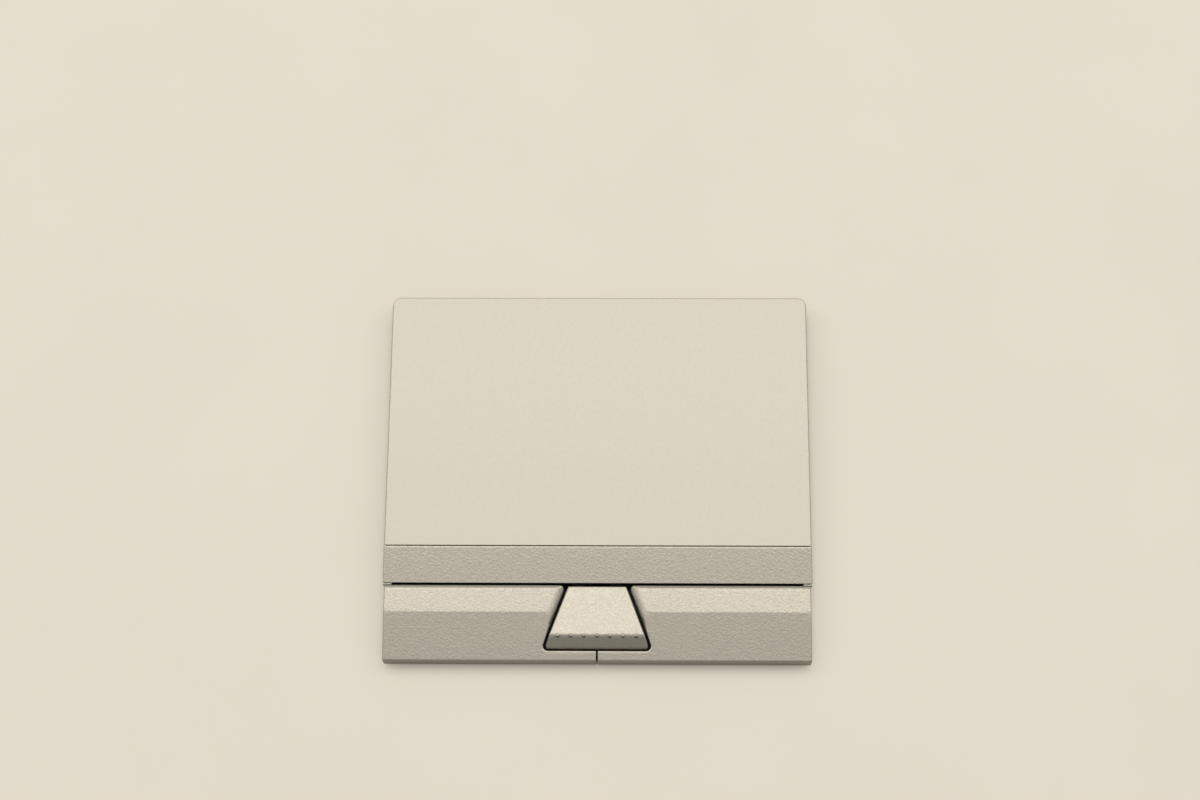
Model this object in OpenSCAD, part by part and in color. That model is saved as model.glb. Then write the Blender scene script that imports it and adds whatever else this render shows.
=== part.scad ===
// Laptop trackpad module: a click pad hinged at its keyboard end, and three
// pointing-stick buttons on the same hinge rod, over a pressed steel tray.
// Frame: +X to the user's right, +Y away from the user, +Z up.
// Origin: centre of the module's underside. Millimetres.

/* [Plan] */
// Width of the click pad
pad_w = 90; // [89:1:96]
// Depth of the touch surface, from the user's edge to the band
touch_d = 56; // [54:1:62]
// Depth of the sloping band between the touch surface and the buttons
band_d = 7.8; // [7.6:0.1:8.4]
// Gap between the band and the buttons
button_gap = 0.75; // [0.6:0.05:0.9]
// Depth of the buttons, from the gap to the keyboard edge
button_d = 15.85; // [15.6:0.05:16.4]
// How far the row of buttons is set in from each side of the pad
buttons_inset = 0.4; // [0.2:0.05:0.5]
// Radius of the two corners on the user's side
corner_r = 1.7; // [1:0.1:2.4]

/* [Heights] */
// Height of the touch surface above the underside
pad_top_z = 5.6; // [5.5:0.05:5.8]
// How far the band falls towards the buttons
band_drop = 0.95; // [0.8:0.05:1]
// Height of the flat tops of the outer buttons
button_top_z = 5.4; // [5.3:0.05:5.6]
// How far the outer buttons fall from their ridge to the keyboard edge
button_drop = 1.4; // [1.2:0.1:1.6]
// Height of the middle button's ridge
middle_ridge_z = 5.85; // [5.7:0.05:6]

/* [Outer buttons] */
// Depth of the flat top, from the back edge to the ridge
flat_top_d = 5.65; // [5:0.05:6.2]
// Gap between the left and the right button
split_gap = 0.38; // [0.3:0.02:0.5]
// Round edge that falls towards the middle button
inner_edge_r = 1.7; // [1.2:0.05:1.8]
// Round edge along the gap
back_edge_r = 0.9; // [0.5:0.05:1]
// Wall of the moulded caps
cap_wall = 1.2; // [1:0.05:1.25]

/* [Middle button] */
// Width at the back edge
middle_back_w = 12.1; // [11.6:0.1:12.6]
// Width at the foot of the bevel
middle_front_w = 21.7; // [21:0.1:22.4]
// Depth of the cap
middle_d = 13.15; // [13:0.05:13.3]
// Depth of the bevel behind the ridge
bevel_d = 2.7; // [2.4:0.1:3]
// Clear gap on each side, measured across the module
middle_gap = 0.72; // [0.6:0.02:0.8]
// Bumps along the ridge
bump_count = 7; // [5:2:9]
// Distance between bumps
bump_pitch = 2.72; // [2:0.02:2.8]
// Diameter of a bump
bump_d = 0.9; // [0.7:0.05:1]

/* [Hinge] */
// Diameter of the steel rod
rod_d = 1.5; // [1.4:0.05:1.6]
// Running clearance between the rod and an eye, on the radius
rod_clearance = 0.03; // [0.02:0.01:0.05]
// Outside diameter of an eye
eye_d = 2.8; // [2.6:0.05:2.8]
// Height of the rod's centre
hinge_z = 2.3; // [2.25:0.05:2.35]

/* [Tray] */
// How far the pressed tray is set in from each side of the pad
tray_inset = 1.9; // [1.9:0.05:2.2]
// Thickness of the sheet
sheet_t = 0.6; // [0.5:0.05:0.6]
// Mounting holes apart across the module
mount_pitch_x = 74; // [70:1:76]
// Mounting holes apart along the module
mount_pitch_y = 42; // [38:1:44]
// Tapped bore of a mounting insert
insert_bore_d = 1.6; // [1.5:0.1:1.8]

/* [Hidden] */
$fn = 48;
// Segments of a shallow arc
fine_fn = 360;
// Overshoot of cutting bodies, so that no cut ends on a face
cut = 0.5;
// Number of chords in a rounded corner of an outline
corner_steps = 6;

// Stations along the module, from the user's edge to the keyboard edge
module_d = touch_d + band_d + button_gap + button_d;
user_y = -module_d / 2;
keyboard_y = module_d / 2;
touch_end_y = user_y + touch_d;
band_end_y = touch_end_y + band_d;
button_back_y = band_end_y + button_gap;
ridge_y = button_back_y + flat_top_d;
hinge_y = band_end_y - 3.6;

// Click pad stack, from the touch surface down
groove_w = 0.12;
overlay_t = 0.7;
overlay_inset = 0.15;
overlay_edge_r = 0.2;
overlay_z = pad_top_z - overlay_t;
adhesive_t = 0.1;
board_t = 0.8;
board_z = overlay_z - adhesive_t - board_t;
stiffener_t = 0.5;
board_end_y = touch_end_y - 1.8;
skirt_z = 0.8;
skirt_t = 1.4;
frame_w = pad_w - 2 * skirt_t;
frame_r = 1;
ledge_w = 1.8;
ledge_t = 0.6;
band_start_y = touch_end_y + groove_w / 2;
cross_bar_end_y = band_start_y + 1;
band_top_z = pad_top_z - 0.1;
band_edge_r = 0.3;
roof_t = 1;
tab_w = 1.8;
tab_d = 0.45;
tab_t = 1.2;
tab_step = 0.15;

// Tray, with its wall round the floor
tray_w = pad_w - 2 * tray_inset;
tray_end_gap = 1.8;
tray_d = module_d - 2 * tray_end_gap;
tray_r = 2.2;
tray_wall_z = 2.6;
tray_low_wall_z = 1.9;
tray_inner_w = tray_w - 2 * sheet_t;
film_t = 0.1;

// Outer buttons: width of the row, heights of the skirt, the inner walls and the back wall
buttons_w = pad_w - 2 * buttons_inset;
button_front_z = button_top_z - button_drop;
cap_skirt_z = 1;
cap_inner_z = 2.8;
cap_back_z = 3.25;
cap_side_gap = 0.3;
soft_ridge_r = 2;
front_edge_r = 0.35;
side_edge_r = 0.25;
web_edge_r = 0.35;
split_edge_r = 0.18;
cap_corner_r = 0.35;
cap_inner_corner_r = 0.9;
button_slope = button_drop / (keyboard_y - ridge_y);

// Middle button and the cut-out round it
middle_back_y = button_back_y + 0.1;
middle_front_y = middle_back_y + middle_d;
middle_ridge_y = middle_front_y - bevel_d;
middle_back_z = middle_ridge_z - 0.8;
middle_foot_z = 3.9;
middle_base_z = 3.2;
middle_wall = 1;
middle_slope = (middle_front_w - middle_back_w) / 2 / middle_d;
middle_edge_r = 0.26;
middle_end_r = 0.25;
middle_ridge_r = 1.6;
middle_back_r = 0.35;
middle_front_r = 0.55;
cutout_front_y = middle_front_y + 0.42;
cutout_corner_r = 1;

// Levers under the caps
lever_z = 2.35;
lever_t = middle_base_z - lever_z;
lever_back_y = button_back_y + 1.35;
lever_front_y = lever_back_y + 8.2;
eye_w = 3;
middle_eye_w = 2.4;
tail_d = 3.8;
tail_gap = 0.05;
stake_d = 1.5;

// Places along the hinge rod, on the user's right
middle_eye_x = 4;
inner_eye_x = 14.5;
outer_eye_x = 31.5;
lug_w = 2;
lug_xs = [9.2, 27, tray_inner_w / 2 - 2.1];
pad_eye_x = lug_xs[2] - 4.2;
pad_eye_w = 2.4;
rod_l = tray_inner_w - 1.6;

// Button base and its board
base_floor_t = 0.4;
base_floor_z = sheet_t + base_floor_t;
base_floor_y = hinge_y + 2.5;
base_front_y = tray_d / 2 - sheet_t - 0.2;
base_rim_z = 1.7;
base_w = tray_inner_w - 0.6;
rail_y = hinge_y - 4.2;
rail_d = 2.1;
rail_z = 1.4;
boss_d = 3;
boss_z = 1.9;
screw_d = 1.6;
screw_head_d = 2.7;
screw_head_h = 0.5;
button_board_t = 0.6;
button_board_z = base_floor_z + button_board_t;
button_board_w = 80;
button_board_back_y = lever_back_y + 0.2;
button_board_d = 8.3;
dome_y = hinge_y + 11.2;
dome_x = 26;
dome_d = 5;
dome_h = 0.4;
dome_wall = 0.1;
nib_d = 2.4;
nib_gap = 0.05;
tape_t = 0.08;

// Click switch under the pad, and the tray's plateau that it meets
switch_y = user_y + 7.2;
switch_w = 5.2;
switch_t = 0.7;
switch_z = board_z - switch_t;
plunger_d = 2;
plunger_h = 0.55;
plateau_z = switch_z - plunger_h - 0.05;
plateau_top_d = 4.4;
plateau_foot_d = 9.2;

// Snap hooks of the pad, in slots of the tray's wall
hook_x = 22;
hook_w = 6;
hook_z = 1.5;
hook_t = 0.45;
hook_l = 1.5;

// Socket for the host's flat cable, and the window in the tray below it
socket_w = 11.2;
socket_d = 4.4;
socket_t = 1.2;
socket_y = -1.8;
socket_z = board_z - socket_t;
socket_cheek = 0.6;
slot_w = 9.2;
slot_t = 0.4;
latch_w = socket_w - 2 * socket_cheek - 0.1;
latch_t = 0.4;
latch_l = 1.6;
latch_pin_d = 0.4;
latch_pin_clearance = 0.03;
latch_axis_y = socket_y - 0.3;
latch_axis_z = socket_z + 0.25;
latch_recess = [1.8, 0.75];
window_w = 17;
window_d = 16.2;
window_y = socket_y + 1 - window_d / 2;

// Flat cable between the two boards: stations (y, z) of its middle line
flex_x = 21.5;
flex_w = 6;
flex_t = 0.15;
flex_route = [
    [button_board_back_y + 2.2, button_board_z + flex_t / 2],
    [button_board_back_y - 0.3, button_board_z + flex_t / 2],
    [hinge_y + 4.2, 1.2],
    [hinge_y + 1.2, 1.2],
    [hinge_y - 2, 1.55],
    [hinge_y - 4.6, 1.55],
    [hinge_y - 8.4, board_z - 0.7],
    [hinge_y - 10.2, board_z - 0.4],
    [hinge_y - 12.8, board_z - 0.4],
];
flex_socket_y = hinge_y - 12;
flex_socket_t = 0.9;

// Fasteners and small pieces
insert_places = [for (sx = [-1, 1], sy = [-1, 1])
    [sx * mount_pitch_x / 2, -11 + sy * mount_pitch_y / 2]];
insert_d = 4.4;
insert_shank_d = 3.4;
insert_z = 2.2;
screw_places = [for (sx = [-1, 1])
    each [[sx * 38.2, base_front_y - 1.7], [sx * lug_xs[0], rail_y + 1]]];
bumper_x = 26;
bumper_y = user_y + 5.7;
bumper_d = 4.5;
bumper_z = 2.9;
controller_at = [18, -10];
controller_w = 6;
controller_t = 0.85;
capacitor_xs = [-4, -1.5, 1, 3.5];
capacitor_y = board_end_y - 5;

// Colours
silver = [0.7, 0.67, 0.6];
touch_silver = [0.84, 0.81, 0.73];
black = [0.08, 0.08, 0.08];
steel = [0.62, 0.62, 0.62];
board_green = [0.1, 0.3, 0.2];
board_black = [0.1, 0.11, 0.1];
copper_film = [0.75, 0.45, 0.12];
ivory = [0.85, 0.82, 0.72];

// Half width of the middle button at station y, and of the cut-out round it
function middle_half(y) = middle_back_w / 2 + middle_slope * (y - middle_back_y);
function cutout_half(y) = middle_half(y) + middle_gap;

// Height of the outer buttons at station y
function button_z(y) = button_top_z - button_slope * max(y - ridge_y, 0);

// Height of the band at station y
function band_z(y) = band_top_z - band_drop * (y - band_start_y) / (band_end_y - band_start_y);

// Chords of the arc of radius r that rounds corner b between a and c
function round_corner(a, b, c, r) =
    let (
        to_a = (a - b) / norm(a - b),
        to_c = (c - b) / norm(c - b),
        half = acos(to_a * to_c) / 2,
        bisector = (to_a + to_c) / norm(to_a + to_c),
        centre = b + bisector * r / sin(half),
        from = b + to_a * r / tan(half) - centre,
        to = b + to_c * r / tan(half) - centre,
        start = atan2(from[1], from[0]),
        turn = (atan2(to[1], to[0]) - start + 540) % 360 - 180
    )
    [for (i = [0 : corner_steps])
        centre + r * [cos(start + turn * i / corner_steps), sin(start + turn * i / corner_steps)]];

// Outline through the points, each corner rounded by its own radius, 0 for a sharp one
function rounded_outline(points, radii) =
    let (n = len(points))
    [for (i = [0 : n - 1])
        each radii[i] > 0
            ? round_corner(points[(i + n - 1) % n], points[i], points[(i + 1) % n], radii[i])
            : [points[i]]];

// Unit vector square to the way from a to b
function square_to(a, b) = [a[1] - b[1], b[0] - a[0]] / norm(b - a);

// Vector from station i of a route to the edge of a ribbon two units thick along it
function mitre(route, i) =
    let (
        last = len(route) - 1,
        before = square_to(route[max(i - 1, 0)], route[max(i, 1)]),
        after = square_to(route[min(i, last - 1)], route[min(i + 1, last)])
    )
    (before + after) / (1 + before * after);

// Carries an outline drawn in (y, z) along X, about the middle plane
module along_x(length) {
    translate([-length / 2, 0, 0])
        rotate([90, 0, 90])
            linear_extrude(length)
                children();
}

// The children and their mirror image on the user's left
module both_sides() {
    children();
    mirror([1, 0, 0])
        children();
}

// Rounded rectangle about the origin
module rounded_rect(w, d, r) {
    square([w - 2 * r, d], center = true);
    square([w, d - 2 * r], center = true);
    for (sx = [-1, 1], sy = [-1, 1])
        translate([sx * (w / 2 - r), sy * (d / 2 - r)])
            circle(r);
}

// Rectangle between two stations, round at its two corners on the user's side
module pad_outline(w, from_y, to_y, r) {
    translate([-w / 2, from_y + r])
        square([w, to_y - from_y - r]);
    translate([r - w / 2, from_y])
        square([w - 2 * r, to_y - from_y]);
    for (sx = [-1, 1])
        translate([sx * (w / 2 - r), from_y + r])
            circle(r);
}

// Upright cylinder whose underside is at height z
module post(at, d, z, h) {
    translate([at[0], at[1], z])
        cylinder(d = d, h = h);
}

// Cylinder of diameter d about the hinge axis, centred at x
module on_hinge(x, d, w) {
    translate([x, hinge_y, hinge_z])
        rotate([0, 90, 0])
            cylinder(d = d, h = w, center = true);
}

// Section of the cutter that rounds a top edge: the material lies below and to the left
module edge_section(r) {
    translate([-r, -r])
        difference() {
            square(r + cut);
            circle(r);
        }
}

// Rounds the top edge from point a to point b, with the material on the right of that way
module round_edge(a, b, r) {
    way = b - a;
    rise = atan2(way[2], norm([way[0], way[1]]));
    translate(a)
        rotate([0, -rise, atan2(way[1], way[0])])
            translate([-cut, 0, 0])
                rotate([90, 0, 90])
                    linear_extrude(norm(way) + 2 * cut)
                        edge_section(r);
}

// Tray

// Pressed tray: floor, drawn wall, stiffening beads, switch plateau and openings
module support_tray() {
    color(black)
        difference() {
            union() {
                tray_shell();
                tray_beads(0, sheet_t + 0.4, 2.6);
                plateau(sheet_t, plateau_foot_d, plateau_top_d);
            }
            tray_beads(-cut, 0.4 + cut, 1.6);
            plateau_hollow();
            translate([0, 0, -cut])
                linear_extrude(sheet_t + 2 * cut)
                    cable_window();
            tray_slots();
            hook_slots();
            for (at = insert_places)
                post(at, insert_shank_d, -cut, sheet_t + 2 * cut);
            for (at = screw_places) {
                post(at, screw_d, -cut, sheet_t + 2 * cut);
                translate([at[0], at[1], 0])
                    cylinder(d1 = screw_head_d, d2 = screw_d, h = screw_head_h);
            }
        }
}

// Floor and wall, the wall lower beside the buttons
module tray_shell() {
    difference() {
        linear_extrude(tray_wall_z)
            rounded_rect(tray_w, tray_d, tray_r);
        translate([0, 0, sheet_t])
            linear_extrude(tray_wall_z)
                rounded_rect(tray_inner_w, tray_d - 2 * sheet_t, tray_r - sheet_t);
        translate([-pad_w / 2, rail_y - 1, tray_low_wall_z])
            cube([pad_w, module_d, tray_wall_z]);
    }
}

// Two long beads pressed up from the floor
module tray_beads(z, h, w) {
    bead_l = 34;
    both_sides()
        translate([15, -11, z])
            linear_extrude(h) {
                square([w, bead_l], center = true);
                for (sy = [-1, 1])
                    translate([0, sy * bead_l / 2])
                        circle(d = w);
            }
}

// Cone pressed up from the floor, with a flat top for the click switch
module plateau(z, foot_d, top_d) {
    translate([0, switch_y, z])
        cylinder(d1 = foot_d, d2 = top_d, h = plateau_z - z);
}

// Inside of the plateau, one sheet thickness below its top
module plateau_hollow() {
    translate([0, switch_y, -cut])
        cylinder(d = plateau_foot_d - 2 * sheet_t, h = cut);
    translate([0, switch_y, 0])
        cylinder(d1 = plateau_foot_d - 2 * sheet_t, d2 = plateau_top_d - 2 * sheet_t,
                 h = plateau_z - sheet_t);
}

// Window below the cable socket, as an outline
module cable_window() {
    translate([0, window_y])
        rounded_rect(window_w, window_d, 1.5);
}

// Slots that lighten the floor
module tray_slots() {
    both_sides()
        for (y = [-24, -4])
            translate([27, y, -cut])
                linear_extrude(sheet_t + 2 * cut)
                    rounded_rect(7, 15, 2);
}

// Slots in the user's wall for the pad's hooks
module hook_slots() {
    slot_bottom = 0.75;
    both_sides()
        translate([hook_x - hook_w / 2 - 0.5, -tray_d / 2 - cut, slot_bottom])
            cube([hook_w + 1, sheet_t + 2 * cut, hook_z + hook_t + 0.05 - slot_bottom]);
}

// Black film over the tray's floor, under the sensor board
module insulating_film() {
    film_user_y = -tray_d / 2 + sheet_t + 0.4;
    film_end_y = rail_y - 0.6;
    color([0.12, 0.12, 0.12])
        translate([0, 0, sheet_t])
            linear_extrude(film_t)
                difference() {
                    pad_outline(tray_inner_w - 0.8, film_user_y, film_end_y, 1);
                    cable_window();
                    for (at = insert_places)
                        translate(at)
                            circle(d = insert_d + 0.4);
                    for (sx = [-1, 1]) {
                        translate([sx * bumper_x, bumper_y])
                            circle(d = bumper_d + 0.4);
                        translate([sx * 15, -11])
                            square([3.2, 38], center = true);
                    }
                    translate([0, switch_y])
                        circle(d = plateau_foot_d + 0.4);
                }
}

// Tapped insert clinched into the tray, its mouth flush with the underside
module mount_insert(at) {
    color(steel)
        difference() {
            union() {
                post(at, insert_shank_d, 0, sheet_t);
                post(at, insert_d, sheet_t, insert_z - sheet_t);
            }
            post(at, insert_bore_d, -cut, insert_z + 2 * cut);
        }
}

// Countersunk screw that holds the button base to the tray
module base_screw(at) {
    recess_l = 1.4;
    recess_w = 0.35;
    color(steel)
        difference() {
            union() {
                post(at, screw_d - 0.02, 0, boss_z);
                translate([at[0], at[1], 0])
                    cylinder(d1 = screw_head_d - 0.02, d2 = screw_d - 0.02, h = screw_head_h);
            }
            for (size = [[recess_l, recess_w], [recess_w, recess_l]])
                translate([at[0], at[1], -cut])
                    linear_extrude(cut + 0.3)
                        square(size, center = true);
        }
}

// Rubber stop under the user's end of the pad
module bumper(side) {
    color(black)
        difference() {
            post([side * bumper_x, bumper_y], bumper_d, sheet_t, bumper_z - sheet_t);
            post([side * bumper_x, bumper_y], 1.6, bumper_z - 0.6, 1);
        }
}

// Button base, hinge and button board

// Black moulding: floor with a rim, bearing lugs, tail rail and screw bosses
module button_base() {
    color(black)
        difference() {
            union() {
                base_floor();
                tail_rail();
                both_sides()
                    for (x = lug_xs)
                        bearing_lug(x);
                for (at = screw_places)
                    post(at, boss_d, sheet_t, boss_z - sheet_t);
            }
            on_hinge(0, rod_d + 0.02, pad_w);
            for (at = screw_places)
                post(at, screw_d, 0, boss_z + cut);
        }
}

// Floor under the button board, with a rim along the front and the sides
module base_floor() {
    depth = base_front_y - base_floor_y;
    rim_t = 0.6;
    translate([0, base_floor_y + depth / 2, sheet_t])
        difference() {
            linear_extrude(base_rim_z - sheet_t)
                rounded_rect(base_w, depth, 1);
            translate([0, -rim_t, base_floor_t])
                linear_extrude(base_rim_z)
                    square([base_w - 2 * rim_t, depth], center = true);
        }
}

// Rail on which the levers' tails come to rest
module tail_rail() {
    translate([-base_w / 2, rail_y, sheet_t])
        cube([base_w, rail_d, rail_z - sheet_t]);
}

// Lug with a round head about the rod, its foot tied to the rail and the floor
module bearing_lug(x) {
    foot_w = lug_w + 1;
    on_hinge(x, eye_d, lug_w);
    translate([x - lug_w / 2, hinge_y - eye_d / 2, sheet_t])
        cube([lug_w, eye_d, hinge_z - sheet_t]);
    translate([x - foot_w / 2, rail_y, sheet_t])
        cube([foot_w, base_floor_y - rail_y + 1, base_floor_t]);
}

// Steel rod that the pad and all three buttons turn on
module hinge_rod() {
    color(steel)
        on_hinge(0, rod_d, rod_l);
}

// Board that carries the three snap domes
module button_board() {
    color(board_black)
        translate([0, button_board_back_y + button_board_d / 2, base_floor_z])
            linear_extrude(button_board_t)
                rounded_rect(button_board_w, button_board_d, 0.8);
}

// Tape round the domes
module dome_tape() {
    tape_back_y = flex_route[0][0] + 0.3;
    tape_d = button_board_back_y + button_board_d - tape_back_y - 0.2;
    color(black)
        translate([0, 0, button_board_z])
            linear_extrude(tape_t)
                difference() {
                    translate([0, tape_back_y + tape_d / 2])
                        square([button_board_w - 2, tape_d], center = true);
                    for (x = [-dome_x, 0, dome_x])
                        translate([x, dome_y])
                            circle(d = dome_d + 0.2);
                }
}

// Snap dome: a thin spherical cap, open below
module snap_dome(x) {
    sphere_r = (pow(dome_d / 2, 2) + pow(dome_h, 2)) / (2 * dome_h);
    color(steel)
        translate([x, dome_y, button_board_z])
            rotate_extrude()
                intersection() {
                    square([dome_d / 2, dome_h]);
                    translate([0, dome_h - sphere_r])
                        difference() {
                            circle(sphere_r, $fn = fine_fn);
                            circle(sphere_r - dome_wall, $fn = fine_fn);
                        }
                }
}

// Flat cable from the button board, under the rod, up to the sensor board
module board_flex() {
    last = len(flex_route) - 1;
    color(copper_film)
        translate([flex_x, 0, 0])
            along_x(flex_w)
                polygon([
                    for (i = [0 : last]) flex_route[i] + mitre(flex_route, i) * flex_t / 2,
                    for (i = [last : -1 : 0]) flex_route[i] - mitre(flex_route, i) * flex_t / 2,
                ]);
}

// Click pad

// Touch surface: a coated sheet with two round corners
module touch_overlay() {
    half_w = pad_w / 2 - overlay_inset;
    from_y = user_y + overlay_inset;
    to_y = touch_end_y - groove_w / 2;
    color(touch_silver)
        difference() {
            translate([0, 0, overlay_z])
                linear_extrude(overlay_t)
                    pad_outline(2 * half_w, from_y, to_y, corner_r);
            round_edge([half_w, from_y, pad_top_z], [-half_w, from_y, pad_top_z], overlay_edge_r);
            round_edge([-half_w, to_y, pad_top_z], [half_w, to_y, pad_top_z], overlay_edge_r);
            both_sides() {
                round_edge([half_w, to_y, pad_top_z], [half_w, from_y, pad_top_z], overlay_edge_r);
                translate([half_w - corner_r, from_y + corner_r, pad_top_z])
                    rotate(-90)
                        rotate_extrude(angle = 90)
                            translate([corner_r, 0])
                                edge_section(overlay_edge_r);
            }
        }
}

// Sheet of adhesive between the touch surface and the sensor board
module overlay_adhesive() {
    color(ivory)
        translate([0, 0, overlay_z - adhesive_t])
            linear_extrude(adhesive_t)
                pad_outline(frame_w - 0.6, user_y + skirt_t + 0.4, board_end_y - 0.2, frame_r);
}

// Sensor board, seated on the frame's ledge
module sensor_board() {
    color(board_green)
        translate([0, 0, board_z])
            linear_extrude(board_t)
                pad_outline(frame_w - 0.4, user_y + skirt_t + 0.3, board_end_y, frame_r);
}

// Silver moulded trim: skirt, sloping band with ribs under its roof, end tabs and snap hooks
module pad_trim() {
    color(silver) {
        trim_skirt();
        trim_band();
        both_sides() {
            trim_tab();
            trim_hook();
        }
    }
}

// Wall round three sides of the pad, up to the touch surface
module trim_skirt() {
    translate([0, 0, skirt_z])
        linear_extrude(overlay_z - skirt_z)
            difference() {
                pad_outline(pad_w, user_y, touch_end_y, corner_r + overlay_inset);
                pad_outline(frame_w, user_y + skirt_t, touch_end_y + cut, frame_r);
            }
}

// Band that falls towards the buttons: roof over the frame's cross-bar, ribs and side walls
module trim_band() {
    rib_count = 9;
    rib_pitch = 9.4;
    rib_t = 0.8;
    rib_end_y = hinge_y - eye_d / 2 - 0.4;
    roof_z = band_z(band_end_y) - roof_t;
    along_x(pad_w)
        polygon(rounded_outline(
            [[band_start_y, overlay_z], [band_start_y, band_top_z],
             [band_end_y, band_top_z - band_drop], [band_end_y, roof_z],
             [cross_bar_end_y, band_z(cross_bar_end_y) - roof_t], [cross_bar_end_y, overlay_z]],
            [0, band_edge_r, band_edge_r, 0, 0, 0]));
    for (i = [0 : rib_count - 1])
        translate([(i - (rib_count - 1) / 2) * rib_pitch, 0, 0])
            along_x(rib_t)
                polygon([[cross_bar_end_y, board_z - ledge_t], [cross_bar_end_y, board_z + 0.6],
                         [rib_end_y, board_z + 0.5], [rib_end_y, board_z]]);
    both_sides()
        translate([(pad_w - skirt_t) / 2, 0, 0])
            along_x(skirt_t)
                polygon([[touch_end_y - cut, skirt_z], [touch_end_y - cut, overlay_z],
                         [band_start_y + cut, overlay_z], [band_end_y, roof_z + roof_t / 2],
                         [band_end_y, skirt_z]]);
}

// Tab that closes the end of the gap between the band and the buttons
module trim_tab() {
    translate([pad_w / 2 - tab_w, band_end_y - cut, band_z(band_end_y) - tab_step - tab_t])
        cube([tab_w, tab_d + cut, tab_t]);
}

// Hook through a slot in the tray's wall, which stops the pad from rising
module trim_hook() {
    translate([hook_x - hook_w / 2, user_y + skirt_t - 0.2, hook_z])
        cube([hook_w, hook_l + 0.2, hook_t]);
}

// Black moulded frame inside the trim: ledge, cross-bar and hinge arms
module pad_frame() {
    color(black)
        difference() {
            union() {
                frame_ledge();
                translate([-frame_w / 2, board_end_y + 0.2, board_z - ledge_t])
                    cube([frame_w, cross_bar_end_y - board_end_y - 0.2, overlay_z - board_z + ledge_t]);
                both_sides()
                    frame_hinge_arm();
            }
            on_hinge(0, rod_d + 2 * rod_clearance, frame_w - 1);
        }
}

// Ledge that the sensor board is seated on
module frame_ledge() {
    translate([0, 0, board_z - ledge_t])
        linear_extrude(ledge_t)
            difference() {
                pad_outline(frame_w, user_y + skirt_t, touch_end_y, frame_r);
                pad_outline(frame_w - 2 * ledge_w, user_y + skirt_t + ledge_w, board_end_y - 1, frame_r);
            }
}

// Arm from the cross-bar down to the eye that turns on the rod
module frame_hinge_arm() {
    on_hinge(pad_eye_x, eye_d, pad_eye_w);
    translate([pad_eye_x, 0, 0])
        along_x(pad_eye_w)
            polygon([
                [cross_bar_end_y - cut, board_z - ledge_t],
                [hinge_y - eye_d / 2, hinge_z],
                [hinge_y, hinge_z],
                [hinge_y, hinge_z + eye_d / 2],
                [hinge_y - 2, board_z + 0.1],
                [cross_bar_end_y - cut, board_z + 0.2],
            ]);
}

// Steel plate under the sensor board, with windows for what stands on the board
module stiffener_plate() {
    plate_user_y = user_y + 4.2;
    plate_end_y = socket_y + 4.6;
    color(steel)
        translate([0, 0, board_z - stiffener_t])
            linear_extrude(stiffener_t)
                difference() {
                    translate([0, (plate_user_y + plate_end_y) / 2])
                        rounded_rect(80, plate_end_y - plate_user_y, 2);
                    translate([0, socket_y - socket_d / 2])
                        rounded_rect(socket_w + 2, socket_d + 3.6, 0.6);
                    translate([0, switch_y])
                        rounded_rect(switch_w + 1.6, switch_w + 1.6, 0.6);
                    translate(controller_at)
                        rounded_rect(controller_w + 2, controller_w + 2, 0.6);
                }
}

// Touch controller chip, upside down under the board
module touch_controller() {
    color(black)
        translate([controller_at[0], controller_at[1], board_z - controller_t])
            linear_extrude(controller_t)
                square(controller_w, center = true);
}

// Small capacitor beside the flat cable's socket
module capacitor(x) {
    color(ivory)
        translate([x, capacitor_y, board_z - 0.5])
            linear_extrude(0.5)
                square([1, 1.8], center = true);
}

// Socket for the host's flat cable, its mouth towards the user
module host_socket() {
    back_y = socket_y - socket_d;
    color(ivory)
        difference() {
            translate([-socket_w / 2, back_y, socket_z])
                cube([socket_w, socket_d, socket_t]);
            translate([-slot_w / 2, back_y - cut, socket_z + 0.6])
                cube([slot_w, socket_d - 1.2 + cut, slot_t]);
            translate([-socket_w / 2 + socket_cheek, socket_y - latch_recess[0], socket_z - cut])
                cube([socket_w - 2 * socket_cheek, latch_recess[0] + cut, latch_recess[1] + cut]);
            latch_pin(socket_w + 1, latch_pin_d + 2 * latch_pin_clearance);
        }
}

// Cylinder about the latch's axis
module latch_pin(w, d) {
    translate([0, latch_axis_y, latch_axis_z])
        rotate([0, 90, 0])
            cylinder(d = d, h = w, center = true);
}

// Flip lock of the socket, closed flat against it
module socket_latch() {
    color(black) {
        translate([-latch_w / 2, latch_axis_y + latch_t / 2 - latch_l, latch_axis_z - latch_t / 2])
            cube([latch_w, latch_l - latch_t / 2, latch_t]);
        translate([0, latch_axis_y, latch_axis_z])
            rotate([0, 90, 0])
                cylinder(d = latch_t, h = latch_w, center = true);
        latch_pin(socket_w - 0.2, latch_pin_d);
    }
}

// Socket for the flat cable from the button board, open towards the buttons
module flex_socket() {
    depth = 3.2;
    z = board_z - flex_socket_t;
    color(ivory)
        difference() {
            translate([flex_x - flex_w / 2 - 1, flex_socket_y - depth / 2, z])
                cube([flex_w + 2, depth, flex_socket_t]);
            translate([flex_x - flex_w / 2 - 0.3, flex_socket_y - depth / 2 + 0.6, z + 0.2])
                cube([flex_w + 0.6, depth, flex_socket_t - 0.3]);
        }
}

// Body of the click switch, under the user's end of the board
module click_switch() {
    color(steel)
        difference() {
            translate([0, switch_y, switch_z])
                linear_extrude(switch_t)
                    rounded_rect(switch_w, switch_w, 0.5);
            for (sx = [-1, 1], sy = [-1, 1])
                post([sx * 1.9, switch_y + sy * 1.9], 0.7, switch_z - cut, cut + 0.15);
        }
}

// Plunger of the click switch
module click_plunger() {
    color(black)
        post([0, switch_y], plunger_d, switch_z - plunger_h, plunger_h);
}

// Buttons

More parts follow.
